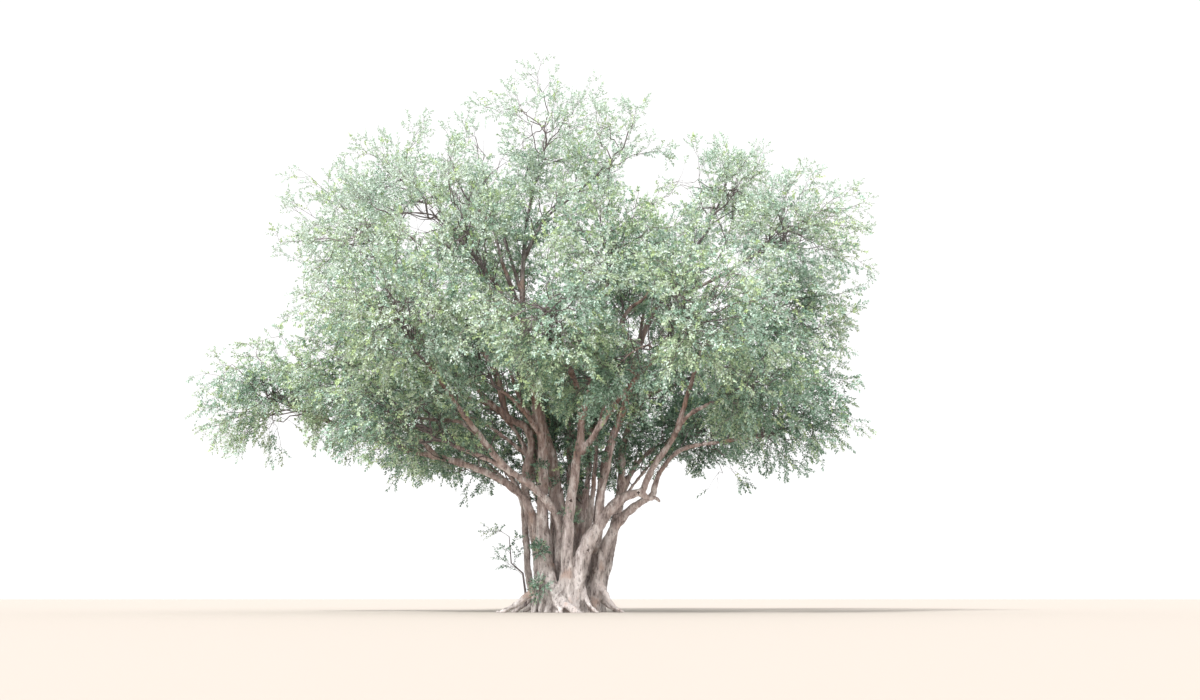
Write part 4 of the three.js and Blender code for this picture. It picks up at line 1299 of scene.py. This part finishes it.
    def grow_limb(self, name: str, number: int) -> Growth:
        """Grow leafy twigs along the part of a limb that stands inside the crown.

        Args:
            name: The limb.
            number: A number that fixes its variations.

        Returns:
            Its twigs and leaves.
        """
        rng = np.random.default_rng(self.seed * 50 + number)
        curve, limb = self.framework.curves[name], self.framework.limbs[name]
        bottom = limb.leafy or self.leafy_from
        first = curve.share_at_height(bottom) if curve.points[-1, 2] > bottom else 1.0
        spacing = self.low_twig_spacing if limb.leafy else self.limb_twig_spacing
        if limb.draping:
            spacing = self.draping_twig_spacing
        count = int((1 - first) * curve.length / spacing)
        if not count:
            return Growth()
        line = curve.at(np.linspace(0, 1, 60))[None]
        order = Order(count, self.limb_twig_lean, first)
        places, headings, lengths = self.branch(line, order, self.limb_twig_length, rng)
        headings = unit(headings + UP * self.limb_twig_lift)
        main = self.arch(places, headings, lengths, rings=8, droop=self.limb_twig_droop)
        low = self.lowness(float(curve.at((first + 1) / 2)[2]), 4)
        return self.clothe(main, self.limb_side_length, rng, None, low, self.main_radii)

    def grow_tuft(self, number: int) -> Growth:
        """Grow a leafy sprig from the foot or from a stem's lower bark.

        Args:
            number: The sprig's number.

        Returns:
            Its twigs and leaves.
        """
        rng = np.random.default_rng(self.seed * 70 + number)
        root, heading, length = self.TUFTS[number]
        main = self.arch(np.array([root]), unit(np.array([heading])), np.array([length]), rings=6, droop=0.1)
        side_length = self.tuft_side_length * length**0.5
        grown = self.clothe(main, side_length, rng, None, 0.4, self.tuft_radii, self.tuft_light)
        grown.sizes = grown.sizes * self.tuft_leaf_size
        return grown

    def leaf_faces(self, grown: Growth,
                   rng: np.random.Generator) -> tuple[np.ndarray, np.ndarray, np.ndarray]:
        """Make every leaf a small blade folded along its midrib.

        Args:
            grown: Leaves' roots, headings, sizes and shades.
            rng: Source of their tilts.

        Returns:
            The points, the faces and the shade of each face.
        """
        count = len(grown.roots)
        along = grown.headings
        facing = UP * 0.75 + rng.normal(0, 0.55, (count, 3))
        side = unit(np.cross(along, facing))
        normal = np.cross(side, along)
        run, wide, fold = self.LEAF_OUTLINE.T[..., None]
        blade = along[:, None] * run + side[:, None] * (wide * self.leaf_width) + normal[:, None] * fold
        places = grown.roots[:, None] + grown.sizes[:, None, None] * blade
        faces = (np.arange(count)[:, None, None] * len(self.LEAF_OUTLINE) + self.LEAF_FACES).reshape(-1, 3)
        return places.reshape(-1, 3), faces, np.repeat(grown.shades, len(self.LEAF_FACES))

    def gather(self, grown: Growth, leaves: Skin, wood: Skin, number: int) -> None:
        """Add what has grown to the skins of the leaves and of the twigs.

        Args:
            grown: The twigs and leaves.
            leaves: Skin that takes the leaves.
            wood: Skin that takes the twigs.
            number: A number that fixes the leaves' tilts.
        """
        if not len(grown.roots):
            return
        places, faces, shades = self.leaf_faces(grown, np.random.default_rng(self.seed * 100 + number))
        leaves.add(places, faces, slots=shades)
        for batch in grown.twigs:
            wood.add(*strands(*batch))

    def build(self) -> list[bpy.types.Object]:
        """Make the twigs' pieces and the leaves' pieces, one of each for every region of the crown.

        Returns:
            The pieces, with two more for the leaves that stand on limbs.
        """
        shades = [LeafFinish(shade).material() for shade in LeafShade]
        twig = TwigFinish().material()
        numbers = {mass.name: index for index, mass in enumerate(MASSES)}
        twigs: list[Skin] = []
        made = []
        for region, names in self.REGIONS.items():
            leaves, wood = Skin(), Skin()
            for name in names:
                self.gather(self.grow_mass(numbers[name]), leaves, wood, numbers[name])
            piece = leaves.piece("leaves_" + region, shades, smooth=False)
            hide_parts(*("foliage_" + name for name in names))
            made.append(piece)
            twigs.append(wood)
        inner = {"left": Skin(), "right": Skin()}
        for number, name in enumerate(self.framework.limbs):
            side = "left" if self.framework.curves[name].at(1.0)[0] < 0 else "right"
            self.gather(self.grow_limb(name, number), inner[side], twigs[number % len(twigs)], 100 + number)
        for number in range(len(self.TUFTS)):
            self.gather(self.grow_tuft(number), inner["left"], twigs[number], 200 + number)
        made += [leaves.piece("leaves_inner_" + side, shades, smooth=False) for side, leaves in inner.items()]
        made += [wood.piece("twigs_" + name, [twig], smooth=True) for wood, name in zip(twigs, self.REGIONS)]
        return made


@dataclass
class Studio:
    """The floor, the light and the camera at the photograph's view."""

    image_width: int = 1200
    image_height: int = 700
    focal_pixels: float = 1300.0
    horizon_row: float = 598.0
    sensor: float = 36.0
    floor_radius: float = 400.0
    floor_sides: int = 96
    floor_colour: Colour = (0.50, 0.445, 0.395)
    sky_colour: Colour = (1.0, 1.0, 1.0)
    sky_strength: float = 1.1
    sun_strength: float = 4.0
    sun_angle: float = 12.0
    sun_turn: Place = (46.0, 0.0, -34.0)

    def build(self) -> None:
        """Set up the stage."""
        camera = bpy.data.objects.new("camera", bpy.data.cameras.new("camera"))
        camera.data.sensor_width = self.sensor
        camera.data.sensor_fit = "HORIZONTAL"
        camera.data.lens = self.sensor * self.focal_pixels / self.image_width
        camera.data.clip_end = 3 * self.floor_radius
        pitch = math.atan((self.horizon_row - self.image_height / 2) / self.focal_pixels)
        camera.location = EYE
        camera.rotation_euler = (math.pi / 2 + pitch, 0, 0)
        sun = bpy.data.objects.new("sun", bpy.data.lights.new("sun", "SUN"))
        sun.data.energy, sun.data.angle = self.sun_strength, math.radians(self.sun_angle)
        sun.rotation_euler = tuple(math.radians(turn) for turn in self.sun_turn)
        scene = bpy.context.scene
        for made in (camera, sun):
            scene.collection.objects.link(made)
        scene.camera = camera
        scene.world = bpy.data.worlds.new("sky")
        scene.world.use_nodes = True
        background = scene.world.node_tree.nodes["Background"]
        background.inputs[0].default_value = paint(self.sky_colour)
        background.inputs[1].default_value = self.sky_strength
        scene.view_settings.view_transform = "Standard"
        self.build_floor()

    def build_floor(self) -> None:
        """Lay a plain pale floor out to the horizon."""
        turn = np.linspace(0, 2 * math.pi, self.floor_sides, endpoint=False)
        ring = np.stack([np.cos(turn), np.sin(turn), 0 * turn], axis=-1) * self.floor_radius
        skin = Skin()
        skin.add(ring, np.arange(self.floor_sides)[None])
        finish = Shader("floor").finish(Base_Color=paint(self.floor_colour), Roughness=0.95)
        floor = skin.piece("floor", [finish], smooth=False)


def main() -> None:
    """Build the tree and its stage, and report each piece."""
    logging.basicConfig(level=logging.INFO, format="%(message)s")
    Studio().build()
    framework = Framework()
    pieces = [*Wood(framework).build(), *Crown(framework).build()]
    for piece in pieces:
        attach(piece, "root")
        logging.info("%s: %d faces", piece.name, len(piece.data.polygons))


if __name__ == "__main__":
    main()
